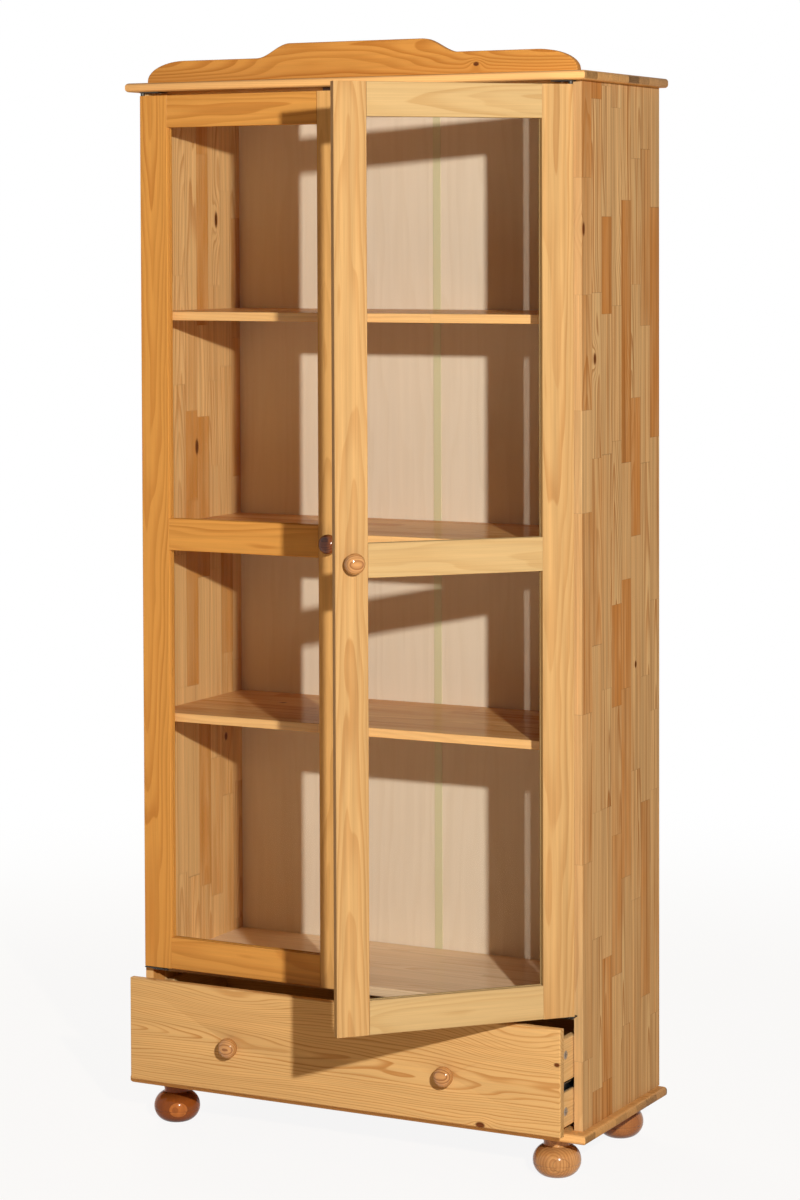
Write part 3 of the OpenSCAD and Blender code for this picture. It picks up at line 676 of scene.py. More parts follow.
@dataclass(frozen=True)
class Glass:
    """Clear pane: light passes, and the surface mirrors more at a slant.

    Attributes:
        name: the material's name, which is also its slot in the record.
        tint: colour of the light that passes.
        mirror: colour of the mirrored light.
        least: share that is mirrored straight on.
        slanted: share that is added at the flattest slant.
        fall: how fast that share falls away from it.
    """

    name: str = "clear_glass"
    tint: Rgba = (0.985, 0.99, 0.985, 1.0)
    mirror: Rgba = (0.16, 0.16, 0.16, 1.0)
    least: float = 0.02
    slanted: float = 0.8
    fall: float = 5.0

    def material(self) -> bpy.types.Material:
        """Makes the finish.

        Returns:
            The material.
        """
        recipe = Recipe(bpy.data.materials.new(self.name))
        normal = recipe.bump(recipe.noise(recipe.place(), 5.0, 1.0), 0.02, 1 * MM)
        through = recipe.node("ShaderNodeBsdfTransparent", None, {"Color": self.tint})
        mirror = recipe.node("ShaderNodeBsdfGlossy", None,
                             {"Color": self.mirror, "Roughness": 0.02, "Normal": normal})
        slant = recipe.node("ShaderNodeLayerWeight", None, {"Blend": 0.5}, "Facing")
        amount = slant.of("POWER", self.fall) * self.slanted + self.least
        return recipe.finish(recipe.blend(amount, through, mirror))


# Mesh helpers


def placed(name: str, data: bpy.types.ID) -> bpy.types.Object:
    """Shows a mesh, lamp or camera as an object.

    Args:
        name: the object's name.
        data: the mesh, lamp or camera.

    Returns:
        The object, at the origin.
    """
    obj = bpy.data.objects.new(name, data)
    bpy.context.scene.collection.objects.link(obj)
    return obj


def solid(work: bmesh.types.BMesh, name: str, mesh: bpy.types.Mesh | None = None
          ) -> bpy.types.Object:
    """Turns an edit mesh into an object.

    Args:
        work: the edit mesh, which is freed.
        name: the object's name.
        mesh: the mesh to fill, if not a new one.

    Returns:
        The object, with its place in its mesh.
    """
    if mesh is None:
        mesh = bpy.data.meshes.new(name)
    work.to_mesh(mesh)
    work.free()
    return placed(name, mesh)


def baked(obj: bpy.types.Object) -> bpy.types.Object:
    """Turns an object's modifiers into plain mesh.

    Args:
        obj: the object, which loses its modifiers.

    Returns:
        The same object.
    """
    bpy.context.view_layer.update()
    result = obj.evaluated_get(bpy.context.evaluated_depsgraph_get())
    mesh = bpy.data.meshes.new_from_object(result)
    obj.modifiers.clear()
    obj.data = mesh
    return obj


def softened(obj: bpy.types.Object, width: float, segments: int, angle: float) -> bpy.types.Object:
    """Rounds an object's sharp edges and shades its round faces smooth.

    Args:
        obj: the object.
        width: width of the rounding in metres.
        segments: faces across the rounding.
        angle: edges sharper than this many degrees are rounded.

    Returns:
        The same object.
    """
    soften = obj.modifiers.new("soften", "BEVEL")
    soften.width = width
    soften.segments = segments
    soften.limit_method = "ANGLE"
    soften.angle_limit = math.radians(angle)
    baked(obj)
    obj.data.shade_smooth()
    obj.data.set_sharp_from_angle(angle=SHARP)
    return obj


def lathe(name: str, profile: Sequence[Point], base: Vector, axis: Vector, steps: int = 96
          ) -> bpy.types.Object:
    """A turned piece.

    Args:
        name: the piece's name.
        profile: radius and height points, from the axis at the bottom to the axis at the top.
        base: the point on the axis at height zero.
        axis: direction of the axis.
        steps: faces round the piece.

    Returns:
        The object, with smooth faces and its place in its mesh.
    """
    work = bmesh.new()
    points = [work.verts.new((radius, 0, height)) for radius, height in profile]
    edges = [work.edges.new(pair) for pair in zip(points, points[1:])]
    bmesh.ops.spin(work, geom=points + edges, axis=(0, 0, 1), cent=(0, 0, 0),
                   angle=math.tau, steps=steps, use_merge=True)
    bmesh.ops.remove_doubles(work, verts=work.verts, dist=SAME_POINT)
    bmesh.ops.recalc_face_normals(work, faces=work.faces)
    turn = UP.rotation_difference(axis).to_matrix().to_4x4()
    work.transform(Matrix.Translation(base) @ turn)
    obj = solid(work, name)
    obj.data.shade_smooth()
    return obj


def merged(mesh: bpy.types.Mesh) -> bmesh.types.BMesh:
    """Joins the loose triangles of a CAD mesh.

    Args:
        mesh: the mesh, which stays as it is.

    Returns:
        An edit mesh with single points.
    """
    work = bmesh.new()
    work.from_mesh(mesh)
    bmesh.ops.remove_doubles(work, verts=work.verts, dist=SAME_POINT)
    return work


def refined(node: str, bevel: float) -> bpy.types.Object:
    """A copy of a CAD node with merged points, softened edges and smooth rounded faces.

    Args:
        node: the node that the copy stands for.
        bevel: width of the softened edges in metres.

    Returns:
        The new object.
    """
    mesh = frame["nodes"][node].data.copy()
    work = merged(mesh)
    bmesh.ops.dissolve_limit(work, angle_limit=math.radians(0.5), verts=work.verts,
                             edges=work.edges)
    return softened(solid(work, f"{node}_looks", mesh), bevel, 2, 30.0)


def island_points(node: str) -> list[list[Vector]]:
    """Finds the separate solids in a CAD node.

    Args:
        node: the node.

    Returns:
        The corner points of each solid.
    """
    work = merged(frame["nodes"][node].data)
    found, seen = [], set()
    for first in work.verts:
        if first in seen:
            continue
        group, queue = [], [first]
        seen.add(first)
        while queue:
            vert = queue.pop()
            group.append(vert.co.copy())
            for edge in vert.link_edges:
                other = edge.other_vert(vert)
                if other not in seen:
                    seen.add(other)
                    queue.append(other)
        found.append(group)
    work.free()
    return found


def dress(obj: bpy.types.Object, material: bpy.types.Material) -> None:
    """Puts one material on every face of an object.

    Args:
        obj: the object.
        material: its finish.
    """
    if not obj.material_slots:
        obj.data.materials.append(material)
    for item in obj.material_slots:
        item.material = material


def joined(name: str, parts: Sequence[bpy.types.Object]) -> bpy.types.Object:
    """Joins objects of one finish into one mesh object.

    Args:
        name: the new object's name.
        parts: the objects, which are removed.

    Returns:
        The new object.
    """
    work = bmesh.new()
    for part in parts:
        work.from_mesh(part.data)
    for face in work.faces:
        face.material_index = 0
    material = parts[0].data.materials[0]
    for part in parts:
        bpy.data.objects.remove(part)
    obj = solid(work, name)
    dress(obj, material)
    return obj


def arc(cx: float, cz: float, r: float, start: float, end: float, steps: int) -> list[Point]:
    """Points on an arc, with angles in degrees from the level outward direction.

    Args:
        cx: the centre's distance from the axis.
        cz: its height.
        r: radius.
        start: first angle.
        end: last angle.
        steps: number of stretches.

    Returns:
        The points, with both ends.
    """
    angles = [math.radians(start + (end - start) * i / steps) for i in range(steps + 1)]
    return [(cx + r * math.cos(a), cz + r * math.sin(a)) for a in angles]


# The frame's nodes


def body_of_node(node: str) -> str:
    """The body that a CAD node belongs to."""
    bodies = frame["record"]["behaviour"]["bodies"]
    return next(body for body, nodes in bodies.items() if node in nodes)


def slot_of_node(node: str) -> str:
    """The record's material slot of a CAD node."""
    return next(s["material_slot"] for s in frame["record"]["subparts"] if s["node"] == node)


def own(obj: bpy.types.Object, node: str) -> None:
    """Lets a new piece ride with, and stand for, a CAD node.

    Args:
        obj: the new piece.
        node: the node that it replaces.
    """
    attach(obj, body_of_node(node))
    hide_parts(node)
    slot_of_node(node)
    log.info("%s stands for %s", obj.name, node)


# Sub-assemblies


@dataclass
class Board:
    """A board that keeps its CAD shape and gets its own piece of wood.

    Attributes:
        node: its CAD node.
        wood: its finish.
        run: how it lies.
        turn: how far it is turned about Z.
        knots: its knots.
        bevel: width of its softened edges, or 0 for the CAD edges.
    """

    node: str
    wood: Wood
    run: Run
    turn: float = 0.0
    knots: tuple[Knot, ...] = ()
    bevel: float = 0.0

    def build(self) -> bpy.types.Object:
        """Dresses the CAD node, or a softened copy that stands for it.

        Returns:
            The dressed object.
        """
        made = WoodShader(self.node, self.wood, *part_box(self.node), self.run, self.turn, self.knots)
        obj = refined(self.node, self.bevel) if self.bevel else frame["nodes"][self.node]
        dress(obj, made.material)
        if self.bevel:
            own(obj, self.node)
        return obj


@dataclass
class Foot:
    """A turned bun foot: flared neck, round belly and a scored line.

    Attributes:
        node: its CAD node.
        height: from the floor to the base board.
        width: across the belly.
        belly: height of the belly's widest line.
        curve: radius of the belly's curve.
        waist: radius where the neck leaves the belly.
        top: radius under the base board.
        flare: how late the neck widens.
        score_depth: depth of the scored line.
        score_at: the line's angle on the belly, in degrees.
        score_half: half of the line's width, in degrees.
        turn: how the wood is turned in the foot, in radians.
    """

    node: str
    height: float = 68 * MM
    width: float = 83 * MM
    belly: float = 26 * MM
    curve: float = 28 * MM
    waist: float = 22.5 * MM
    top: float = 26 * MM
    flare: float = 1.8
    score_depth: float = 1.1 * MM
    score_at: float = -9.0
    score_half: float = 1.6
    turn: float = 0.6

    def profile(self) -> list[Point]:
        """Draws the half section.

        Returns:
            Radius and height from the floor to the base board.
        """
        cx = self.width / 2 - self.curve
        low = -math.degrees(math.asin(self.belly / self.curve))
        shoulder = math.degrees(math.acos((self.waist + 0.5 * MM - cx) / self.curve))
        below, above = self.score_at - self.score_half, self.score_at + self.score_half
        points = [(0.0, 0.0)] + arc(cx, self.belly, self.curve, low, below, 18)
        points += arc(cx, self.belly, self.curve - self.score_depth, self.score_at, above, 1)[:1]
        points += arc(cx, self.belly, self.curve, above, shoulder, 22)
        neck = points[-1][1]
        rise = self.height - neck
        for t in (i / 10 for i in range(1, 11)):
            points.append((self.waist + (self.top - self.waist) * t**self.flare, neck + rise * t))
        return points + [(0.0, self.height)]

    def build(self) -> bpy.types.Object:
        """Makes the foot under its corner of the base board.

        Returns:
            The foot.
        """
        low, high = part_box(self.node)
        centre = (low + high) / 2
        foot = lathe(f"{self.node}_turned", self.profile(), Vector((centre.x, centre.y, low.z)), UP)
        wood = TURNED_DARK if "left" in self.node else TURNED
        dress(foot, WoodShader(self.node, wood, low, high, Run.SIDE, self.turn).material)
        own(foot, self.node)
        return foot


@dataclass
class Knob:
    """A turned knob with a short neck.

    Attributes:
        node: its CAD node.
        out: direction from its board.
        wood: its finish.
        turn: how far its board is turned about Z.
        width: across the head.
        height: from the board to the edge of the crown.
        curve: radius of the head's rounding.
        neck: the neck's radius.
        crown: rise of the head's middle.
    """

    node: str
    out: Vector
    wood: Wood = KNOB_PINE
    turn: float = 0.0
    width: float = 35 * MM
    height: float = 28 * MM
    curve: float = 12.5 * MM
    neck: float = 8 * MM
    crown: float = 0.4 * MM

    def profile(self) -> list[Point]:
        """Draws the half section.

        Returns:
            Radius and height from the board's face to the crown.
        """
        core = self.width / 2 - self.curve
        low = -math.degrees(math.acos((self.neck - core) / self.curve))
        foot = [(0.0, 0.0), (self.neck + 1.2 * MM, 0.0), (self.neck + 0.8 * MM, 1.0 * MM),
                (self.neck, 1.8 * MM)]
        head = arc(core, self.height - self.curve, self.curve, low, 90, 30)
        top = [(core * (1 - t), self.height + self.crown * math.sin(t * math.pi / 2))
               for t in (0.25, 0.5, 0.75, 1.0)]
        return foot + head + top

    def build(self) -> bpy.types.Object:
        """Makes the knob where its CAD node stands.

        Returns:
            The knob.
        """
        low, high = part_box(self.node)
        base = (low + high) / 2 - self.out * (self.height / 2)
        knob = lathe(f"{self.node}_turned", self.profile(), base, self.out, 80)
        dress(knob, WoodShader(self.node, self.wood, low, high, Run.FACE, self.turn).material)
        own(knob, self.node)
        return knob


@dataclass
class Crest:
    """The scrolled board on top, with softened edges.

    Attributes:
        node: its CAD node.
        low: height of its lower level.
        middle_half: half of the high middle's length.
        step: length of the wave between the levels.
        end: length of the rounded end.
        toe: height of the blunt end.
        soften: width of the softened edges.
        knots: its knots.
    """

    node: str = "crest_board"
    low: float = 39 * MM
    middle_half: float = 130 * MM
    step: float = 68 * MM
    end: float = 76 * MM
    toe: float = 4 * MM
    soften: float = 2.2 * MM
    knots: tuple[Knot, ...] = (Knot(234, -15, 4.5), Knot(-60, 4, 12, 9.0, False))

    def outline(self, half: float, high: float) -> list[Point]:
        """Draws the right half of the outline.

        Args:
            half: half of the board's length.
            high: its height.

        Returns:
            Points from the blunt end to the middle.
        """
        rise = [(half - self.end * (1 - math.cos(a)), self.toe + (self.low - self.toe) * math.sin(a))
                for a in (math.radians(5 * i) for i in range(19))]
        step = [(self.middle_half + self.step * (1 - t),
                 self.low + (high - self.low) * (1 - math.cos(math.pi * t)) / 2)
                for t in (i / 28 for i in range(29))]
        return [(half, 0.0)] + rise + step

    def build(self) -> bpy.types.Object:
        """Makes the board over its CAD node.

        Returns:
            The board.
        """
        low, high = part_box(self.node)
        middle = (low.x + high.x) / 2
        right = self.outline((high.x - low.x) / 2, high.z - low.z)
        points = right + [(-x, z) for x, z in reversed(right)]
        work = bmesh.new()
        face = work.faces.new([work.verts.new((middle + x, low.y, low.z + z)) for x, z in points])
        grown = bmesh.ops.extrude_face_region(work, geom=[face])
        back = [item for item in grown["geom"] if isinstance(item, bmesh.types.BMVert)]
        bmesh.ops.translate(work, verts=back, vec=(0, high.y - low.y, 0))
        bmesh.ops.recalc_face_normals(work, faces=work.faces)
        crest = softened(solid(work, f"{self.node}_shaped"), self.soften, 3, 40.0)
        made = WoodShader(self.node, CREST_PINE, low, high, Run.FACE, 0.0, self.knots)
        dress(crest, made.material)
        own(crest, self.node)
        return crest


class Fasteners:
    """Screws, nails and pins that are set out by one node tree from the CAD solids' places."""

    SOCKETS = {"Points": "Geometry", "Template": "Object", "Size": "Float", "Finish": "Material"}
    SEED = 7

    def __init__(self) -> None:
        """Builds the tree."""
        self.tree = self.make_tree()

    def make_tree(self) -> bpy.types.NodeTree:
        """Makes the tree that puts a template on each point, along the point's own axis.

        Returns:
            The node group.
        """
        tree = bpy.data.node_groups.new("set_out_fasteners", "GeometryNodeTree")
        for name, kind in self.SOCKETS.items():
            tree.interface.new_socket(name, in_out="INPUT", socket_type=f"NodeSocket{kind}")
        tree.interface.new_socket("Fasteners", in_out="OUTPUT", socket_type="NodeSocketGeometry")
        new, link = tree.nodes.new, tree.links.new
        start, end = new("NodeGroupInput"), new("NodeGroupOutput")
        info = new("GeometryNodeObjectInfo")
        axis = new("GeometryNodeInputNamedAttribute")
        axis.data_type = "FLOAT_VECTOR"
        axis.inputs["Name"].default_value = "axis"
        spin = new("FunctionNodeRandomValue")
        spin.data_type = "FLOAT"
        for number in (s for s in spin.inputs if s.enabled and s.name == "Max"):
            number.default_value = math.tau
        spin.inputs["Seed"].default_value = self.SEED
        align = new("FunctionNodeAlignRotationToVector")
        align.axis = "Z"
        twist = new("FunctionNodeAxisAngleToRotation")
        twist.inputs["Axis"].default_value = (0, 0, 1)
        turn = new("FunctionNodeRotateRotation")
        turn.rotation_space = "LOCAL"
        put = new("GeometryNodeInstanceOnPoints")
        real = new("GeometryNodeRealizeInstances")
        paint = new("GeometryNodeSetMaterial")
        link(start.outputs["Template"], info.inputs["Object"])
        link(axis.outputs["Attribute"], align.inputs["Vector"])
        link(next(s for s in spin.outputs if s.enabled), twist.inputs["Angle"])
        link(align.outputs["Rotation"], turn.inputs["Rotation"])
        link(twist.outputs["Rotation"], turn.inputs["Rotate By"])
        link(start.outputs["Points"], put.inputs["Points"])
        link(info.outputs["Geometry"], put.inputs["Instance"])
        link(turn.outputs["Rotation"], put.inputs["Rotation"])
        link(start.outputs["Size"], put.inputs["Scale"])
        link(put.outputs["Instances"], real.inputs["Geometry"])
        link(real.outputs["Geometry"], paint.inputs["Geometry"])
        link(start.outputs["Finish"], paint.inputs["Material"])
        link(paint.outputs["Geometry"], end.inputs["Fasteners"])
        return tree

    def set_out(self, name: str, places: Iterable[tuple[Vector, Vector]],
                template: bpy.types.Object, finish: bpy.types.Material, size: float = 1.0
                ) -> bpy.types.Object:
        """Makes one mesh of copies of a template.

        Args:
            name: the new piece's name.
            places: a point and an axis for each copy.
            template: the object that is copied, standing along +Z; it is removed.
            finish: its material.
            size: scale of the copies.

        Returns:
            The new object as plain mesh.
        """
        spots = list(places)
        mesh = bpy.data.meshes.new(name)
        mesh.from_pydata([tuple(p) for p, _ in spots], [], [])
        axis = mesh.attributes.new("axis", "FLOAT_VECTOR", "POINT")
        for item, (_, direction) in zip(axis.data, spots):
            item.vector = direction
        obj = placed(name, mesh)
        modifier = obj.modifiers.new("fasteners", "NODES")
        modifier.node_group = self.tree
        values = {"Template": template, "Size": size, "Finish": finish}
        for item in self.tree.interface.items_tree:
            if item.in_out == "INPUT" and item.name in values:
                modifier[item.identifier] = values[item.name]
        baked(obj)
        obj.data.set_sharp_from_angle(angle=SHARP)
        bpy.data.objects.remove(template)
        return obj


@dataclass(frozen=True)
class Screw:
    """Sizes of a screw or nail, read from its CAD solid.

    Attributes:
        head: the middle of the head's seat.
        out: direction from the shank to the head.
        head_r: the head's radius.
        shank_r: the shank's radius.
        length: length of shank below the seat.
    """

    head: Vector
    out: Vector
    head_r: float
    shank_r: float
    length: float


# Shares of the widest reach: the head's rim lies past the first, the shank between the others.
HEAD_RIM = 0.97
SHANK_SPAN = (0.2, 0.8)


def read_screws(node: str) -> list[Screw]:
    """Measures each screw of a node. One without a wider head points away from the node's middle.

    Args:
        node: the CAD node.

    Returns:
        The screws.
    """
    found = []
    low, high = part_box(node)
    for points in island_points(node):
        centre = sum(points, Vector()) / len(points)
        axis = main_axis(points, centre)
        along = [(p - centre).dot(axis) for p in points]
        reach = [((p - centre) - axis * t).length for p, t in zip(points, along)]
        head_r = max(reach)
        head = [t for t, r in zip(along, reach) if r > head_r * HEAD_RIM]
        thin = [r for r in reach if SHANK_SPAN[0] * head_r < r < SHANK_SPAN[1] * head_r]
        lean = sum(head) if thin else (centre - (low + high) / 2).dot(axis)
        flip = 1 if lean > 0 else -1
        seat = min(t * flip for t in head) if thin else max(t * flip for t in along)
        length = seat - min(t * flip for t in along)
        shank_r = max(thin) if thin else head_r
        found.append(Screw(centre + axis * (flip * seat), axis * flip, head_r, shank_r, length))
    return found


def main_axis(points: Sequence[Vector], centre: Vector) -> Vector:
    """Finds the long direction of a screw.

    Args:
        points: its corner points.
        centre: their mean.

    Returns:
        The direction between the middles of its two ends.
    """
    far = max(points, key=lambda p: (p - centre).length)
    opposite = min(points, key=lambda p: (p - centre).dot(far - centre))
    across = (far - opposite).normalized()
    reach = (far - centre).length * 0.2
    ends = [[p for p in points if (p - centre).dot(across) * sign > reach] for sign in (1, -1)]
    middles = [sum(group, Vector()) / len(group) for group in ends]
    return (middles[0] - middles[1]).normalized()


def cross_head(radius: float, shank: float, length: float) -> bpy.types.Object:
    """A screw with a cross recess, standing along +Z with its head on top at zero.

    Args:
        radius: the head's radius; a head as narrow as the shank lies flush.
        shank: the shank's radius.
        length: length of shank below the head.

    Returns:
        A template object that isn't shown.
    """
    flush = radius < shank * 1.2
    height = radius * (0.1 if flush else 0.4)
    rim = 0.35
    outer = [(0.0, -length), (shank * 0.4, -length), (shank, -length + shank), (shank, 0.0)]
    outer += ([] if flush else [(radius, 0.0)]) + [(radius, height * rim)]
    outer += [(radius * math.cos(a), height * (rim + (1 - rim) * math.sin(a)))
              for a in (math.radians(15 * i) for i in range(1, 6))]
    body = lathe("screw_template", outer + [(0.0, height)], Vector(), UP, 24)
    cut = bmesh.new()
    slot = Matrix.Diagonal((radius * 1.1, radius * 0.28, radius * 0.5, 1.0))
    for turn in (0.0, math.pi / 2):
        place = Matrix.Translation((0, 0, height)) @ Matrix.Rotation(turn, 4, "Z")
        bmesh.ops.create_cube(cut, size=1.0, matrix=place @ slot)
    tool = solid(cut, "screw_recess")
    recess = body.modifiers.new("recess", "BOOLEAN")
    recess.operation = "DIFFERENCE"
    recess.object = tool
    recess.use_self = True
    recess.solver = "EXACT"
    baked(body)
    bpy.data.objects.remove(tool)
    body.data.set_sharp_from_angle(angle=SHARP)
    return body


def domed_pin(radius: float, dome: float, shank: float, length: float) -> bpy.types.Object:
    """A nail with a domed head, standing along +Z with its head on top at zero.

    Args:
        radius: the head's radius.
        dome: the head's height.
        shank: the shank's radius.
        length: length of shank below the head.

    Returns:
        A template object that isn't shown.
    """
    points = [(0.0, -length), (shank, -length + shank), (shank, 0.0), (radius, 0.0)]
    points += [(radius * math.cos(a), dome * math.sin(a))
               for a in (math.radians(18 * i) for i in range(1, 5))]
    return lathe("nail_template", points + [(0.0, dome)], Vector(), UP, 20)


# Light, floor and camera


@dataclass(frozen=True)
class Lamp:
    """A square area lamp.

    Attributes:
        name: its name.
        where: its place.
        size: its side.
        power: in watts.
        colour: of its light.
        to: the point that it is aimed at.
        mirrored: whether it shows in metal and lacquer.
    """

    name: str
    where: Triple
    size: float
    power: float
    colour: Triple
    to: Triple = (0.0, 0.0, 1.0)
    mirrored: bool = True

    def build(self) -> bpy.types.Object:
        """Hangs the lamp.

        Returns:
            The lamp.
        """
        data = bpy.data.lights.new(self.name, "AREA")
        data.size = self.size
        data.energy = self.power
        data.color = self.colour
        lamp = placed(self.name, data)
        lamp.location = self.where
        aim = Vector(self.to) - Vector(self.where)
        lamp.rotation_euler = aim.to_track_quat("-Z", "Y").to_euler()
        lamp.visible_glossy = self.mirrored
        return lamp


@dataclass
class Studio:
    """Plain floor, soft light and the photograph's camera.

    Attributes:
        floor_size: half of the floor's side.
        floor_colour: what the floor throws back at the cabinet.
        shadow: how much of the shadow the camera sees near the cabinet.
        shadow_ends: distances from the middle between which it fades out, in metres.
        soft_colour: colour of the light from all round.
        soft_power: its strength.
        key: lamp from the right in front.
        fill: broad lamp behind on the left.
        camera_at: the camera's place.
        focal_px: focal length in pixels of the photograph.
        picture_h: height of the photograph in pixels.
        sensor_mm: the sensor's longer side.
        yaw: the camera's turn, in degrees.
        pitch: how far it looks down.
        roll: its tilt about the line of sight.
        shift: its upward shift, as a share of the picture.
    """

    floor_size: float = 14.0
    floor_colour: Rgba = (0.8, 0.68, 0.52, 1.0)
    shadow: float = 0.1
    shadow_ends: Point = (1.4, 3.5)
    soft_colour: Rgba = (1.0, 0.67, 0.4, 1.0)
    soft_power: float = 0.14
    key: Lamp = Lamp("key", (3.05, -3.57, 2.25), 0.1, 222, (1.0, 0.975, 0.93))
    fill: Lamp = Lamp("fill", (-3.4, 3.2, 2.6), 2.4, 120, (1.0, 0.98, 0.96), mirrored=False)
    camera_at: Triple = (2.6196, -4.8500, 1.5871)
    focal_px: float = 3177.8
    picture_h: float = 1200.0
    sensor_mm: float = 36.0
    yaw: float = 27.554
    pitch: float = 2.147
    roll: float = -0.187
    shift: float = -0.2

    def floor(self) -> None:
        """Lays a pale floor that shows white to the camera and keeps a faint shadow."""
        work = bmesh.new()
        bmesh.ops.create_grid(work, x_segments=1, y_segments=1, size=self.floor_size)
        floor = solid(work, "floor")
        recipe = Recipe(bpy.data.materials.new("pale_floor"))
        matt = recipe.node("ShaderNodeBsdfDiffuse", None, {"Color": self.floor_colour})
        white = recipe.node("ShaderNodeEmission", None, {"Color": WHITE, "Strength": 1.0})
        far = recipe.vector("LENGTH", recipe.place()).smooth(*self.shadow_ends)
        amount = recipe.seen() * (far * self.shadow + (1 - self.shadow))
        dress(floor, recipe.finish(recipe.blend(amount, matt, white)))

    def world(self) -> None:
        """Gives even light from all round, white where the camera sees it."""
        world = bpy.data.worlds.new("studio")
        bpy.context.scene.world = world
        recipe = Recipe(world)
        soft, white = (
            recipe.node("ShaderNodeBackground", None, {"Color": colour, "Strength": power})
            for colour, power in ((self.soft_colour, self.soft_power), (WHITE, 1.0))
        )
        recipe.finish(recipe.blend(recipe.seen(), soft, white))

    def camera(self) -> None:
        """Sets up the camera that was fitted to the photograph."""
        data = bpy.data.cameras.new("camera")
        data.sensor_width = self.sensor_mm
        data.lens = self.sensor_mm * self.focal_px / self.picture_h
        data.shift_y = self.shift
        data.clip_end = 100
        camera = placed("camera", data)
        camera.location = self.camera_at
        yaw = Matrix.Rotation(math.radians(self.yaw), 3, "Z")
        pitch = Matrix.Rotation(math.radians(90 - self.pitch), 3, "X")
        roll = Matrix.Rotation(math.radians(self.roll), 3, "Z")
        camera.rotation_euler = (yaw @ pitch @ roll).to_euler()
        bpy.context.scene.camera = camera

    def build(self) -> None:
        """Sets up the whole studio."""
        self.floor()
        self.world()
        self.key.build()
        self.fill.build()
        self.camera()
        bpy.context.scene.view_settings.view_transform = "Standard"
        log.info("studio")


# The cabinet


@dataclass
class Carcass:
    """Boards, shelves, back and feet.

    Attributes:
        left_knots: knots of the left side panel.
        right_knots: knots of the right side panel.
        soft_edge: width of the softened edges of the top and base boards.
    """

    left_knots: tuple[Knot, ...] = (Knot(658, 69, 6, 3.0), Knot(240, -4, 7, 2.5), Knot(-310, 95, 6))
    right_knots: tuple[Knot, ...] = (Knot(637, -158, 6, 2.5), Knot(418, -112, 6, 2.0),
                                     Knot(-120, 60, 5), Knot(500, 10, 16, 6.0, False))
    soft_edge: float = 0.5 * MM

    def boards(self) -> list[Board]:
        """Lists every board of the carcass with its wood.

        Returns:
            The boards.
        """
        return [
            Board("side_panel_left", SIDE_LEFT, Run.SIDE, knots=self.left_knots),
            Board("side_panel_right", SIDE_PINE, Run.SIDE, knots=self.right_knots),
            Board("top_board", TOP_PINE, Run.SHELF, bevel=self.soft_edge),
            Board("base_board", BASE_PINE, Run.SHELF, bevel=self.soft_edge),
            # The floor board's pine carries a painted sheen.
            Board("floor_board", FLOOR_PINE_PAINTED_SHEEN, Run.SHELF),
            Board("shelf_lower", INNER_PINE, Run.SHELF, knots=(Knot(-260, 40, 6),)),
            Board("shelf_middle", INNER_PINE, Run.SHELF),
            Board("shelf_upper", INNER_PINE, Run.SHELF),
            Board("back_panel_left", BACK_PLY, Run.UPRIGHT),
            Board("back_panel_right", BACK_PLY, Run.UPRIGHT),
            Board("carcass_dowels", BARE_PINE, Run.UPRIGHT),
            Board("foot_dowels", BARE_PINE, Run.UPRIGHT),
        ]

    def build(self) -> None:
        """Dresses the carcass and makes the crest and feet."""
        for board in self.boards():
            log.info("board %s", board.build().name)
        Crest().build()
        for place in ("front_left", "front_right", "rear_left", "rear_right"):
            Foot(f"foot_{place}").build()


@dataclass
class Door:
    """One framed glass door.

    Attributes:
        side: left or right.
        stile_wood: finish of the hinge stile.
        free_wood: finish of the stile with the knob.
        rail_wood: finish of the rails and beads.
        knob_wood: finish of the knob.
    """

    side: str
    stile_wood: Wood
    free_wood: Wood
    rail_wood: Wood
    knob_wood: Wood

    def rest_angle(self) -> float:
        """Reads how far the door stands open at rest, from its joint's closed limit.

        Returns:
            The turn about Z in radians.
        """
        hinge = next(j for j in frame["joints"] if j["name"] == f"{self.side}_door_hinge")
        turn = math.radians(-hinge["range_deg"][0])
        return turn * hinge["axis"][2]

    def build(self) -> None:
        """Dresses the frame and makes the knob."""
        turn = self.rest_angle()
        parts = {
            "hinge_stile": (self.stile_wood, Run.UPRIGHT),
            "free_stile": (self.free_wood, Run.UPRIGHT),
            "top_rail": (self.rail_wood, Run.FACE),
            "middle_rail": (self.rail_wood, Run.FACE),
            "bottom_rail": (self.rail_wood, Run.FACE),
            "glass_beads": (self.rail_wood, Run.UPRIGHT),
        }
        for part, (wood, run) in parts.items():
            Board(f"{self.side}_{part}", wood, run, turn).build()
        out = Matrix.Rotation(turn, 3, "Z") @ FORWARD
        Knob(f"{self.side}_door_knob", out, self.knob_wood, turn).build()
        log.info("%s door", self.side)


@dataclass
class Drawer:
    """The drawer box, its front and its knobs.

    Attributes:
        front_knots: knots and figure of the front.
        soft_edge: width of the front's softened edges.
    """

    front_knots: tuple[Knot, ...] = (Knot(417, 32, 5), Knot(274, -87, 6, 1.6),
                                     Knot(-222, 67, 11, 5.0, False), Knot(349, 56, 13, 4.0, False))
    soft_edge: float = 0.5 * MM

    def build(self) -> None:
        """Dresses the boards and makes the knobs."""
        Board("drawer_front", DRAWER_PINE, Run.FACE, knots=self.front_knots,
              bevel=self.soft_edge).build()
        for side in ("left", "right"):
            Board(f"drawer_side_{side}", BARE_PINE, Run.DEPTH).build()
            Knob(f"drawer_knob_{side}", FORWARD).build()
        Board("drawer_back", BARE_PINE, Run.FACE).build()
        Board("drawer_bottom", BACK_PLY, Run.SHELF).build()
        log.info("drawer")


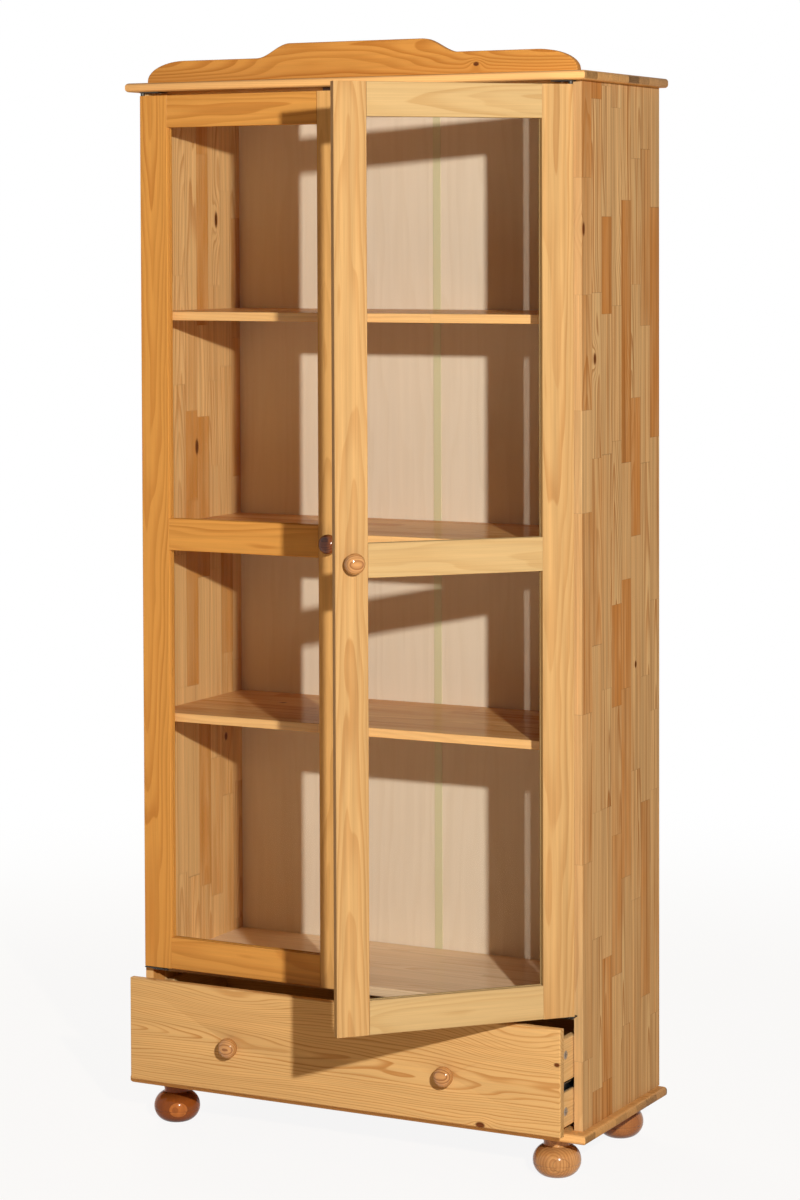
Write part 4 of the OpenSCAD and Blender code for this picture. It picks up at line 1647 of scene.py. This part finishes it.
@dataclass
class Hardware:
    """Screws, nails, pins, runners, pivots, catches and glass.

    Attributes:
        nail_head: radius of a nail's head.
        nail_dome: height of its dome.
        nail_shank: radius of its shank.
        nail_length: length of its shank.
        fasteners: what sets out the screws and nails.
    """

    nail_head: float = 2.5 * MM
    nail_dome: float = 1.0 * MM
    nail_shank: float = 0.9 * MM
    nail_length: float = 15 * MM
    fasteners: Fasteners = field(default_factory=Fasteners)

    def build(self) -> None:
        """Dresses the fittings and sets out the fasteners."""
        finishes = {kind: finish.material() for kind, finish in FITTINGS.items()}
        finishes["clear_glass"] = Glass().material()
        pivot_finish_painted_shade = PIVOT_ZINC_PAINTED_SHADE.material()
        for node, obj in frame["nodes"].items():
            kind = slot_of_node(node)
            if kind in finishes:
                # The pivot brackets get the zinc darkened with painted shade.
                dress(obj, pivot_finish_painted_shade if node == "pivot_brackets" else finishes[kind])
                log.info("fitting %s", node)
        self.nails(finishes["bright_steel"])
        for node in ("cabinet_screws", "left_door_screws", "right_door_screws", "drawer_screws"):
            self.screws(node, finishes["screw_steel"])

    def nails(self, finish: bpy.types.Material) -> None:
        """Sets out the nails on the back panels' edges.

        Args:
            finish: their material.
        """
        template = domed_pin(self.nail_head, self.nail_dome, self.nail_shank, self.nail_length)
        spots = [(nail.head, nail.out) for nail in read_screws("back_nails")]
        own(self.fasteners.set_out("back_nail_heads", spots, template, finish), "back_nails")

    def screws(self, node: str, finish: bpy.types.Material) -> None:
        """Sets out the cross-head screws of one node, from a template for each size of screw.

        Args:
            node: the CAD node.
            finish: their material.
        """
        kinds: dict[tuple[float, ...], list[Screw]] = {}
        for screw in read_screws(node):
            sizes = (screw.head_r, screw.shank_r, screw.length)
            kinds.setdefault(tuple(round(v, 4) for v in sizes), []).append(screw)
        parts = []
        for (head_r, shank_r, length), group in kinds.items():
            template = cross_head(head_r, shank_r, length)
            spots = [(screw.head, screw.out) for screw in group]
            parts.append(self.fasteners.set_out(f"{node}_part", spots, template, finish))
            log.info("%s: %d screws, head radius %.4f, length %.4f", node, len(group), head_r, length)
        own(joined(f"{node}_heads", parts), node)


def main() -> None:
    """Builds every sub-assembly in order."""
    logging.basicConfig(level=logging.INFO, format="%(name)s: %(message)s")
    Studio().build()
    Carcass().build()
    # The left door's knob is darkened partly with painted shade.
    Door("left", DOOR_LEFT, PALE_STILE, DOOR_LEFT, KNOB_DARK_AND_SHADED).build()
    Door("right", STILE_RIGHT, STILE_RIGHT, RAIL_RIGHT, KNOB_PINE).build()
    Drawer().build()
    Hardware().build()


if __name__ == "__main__":
    main()
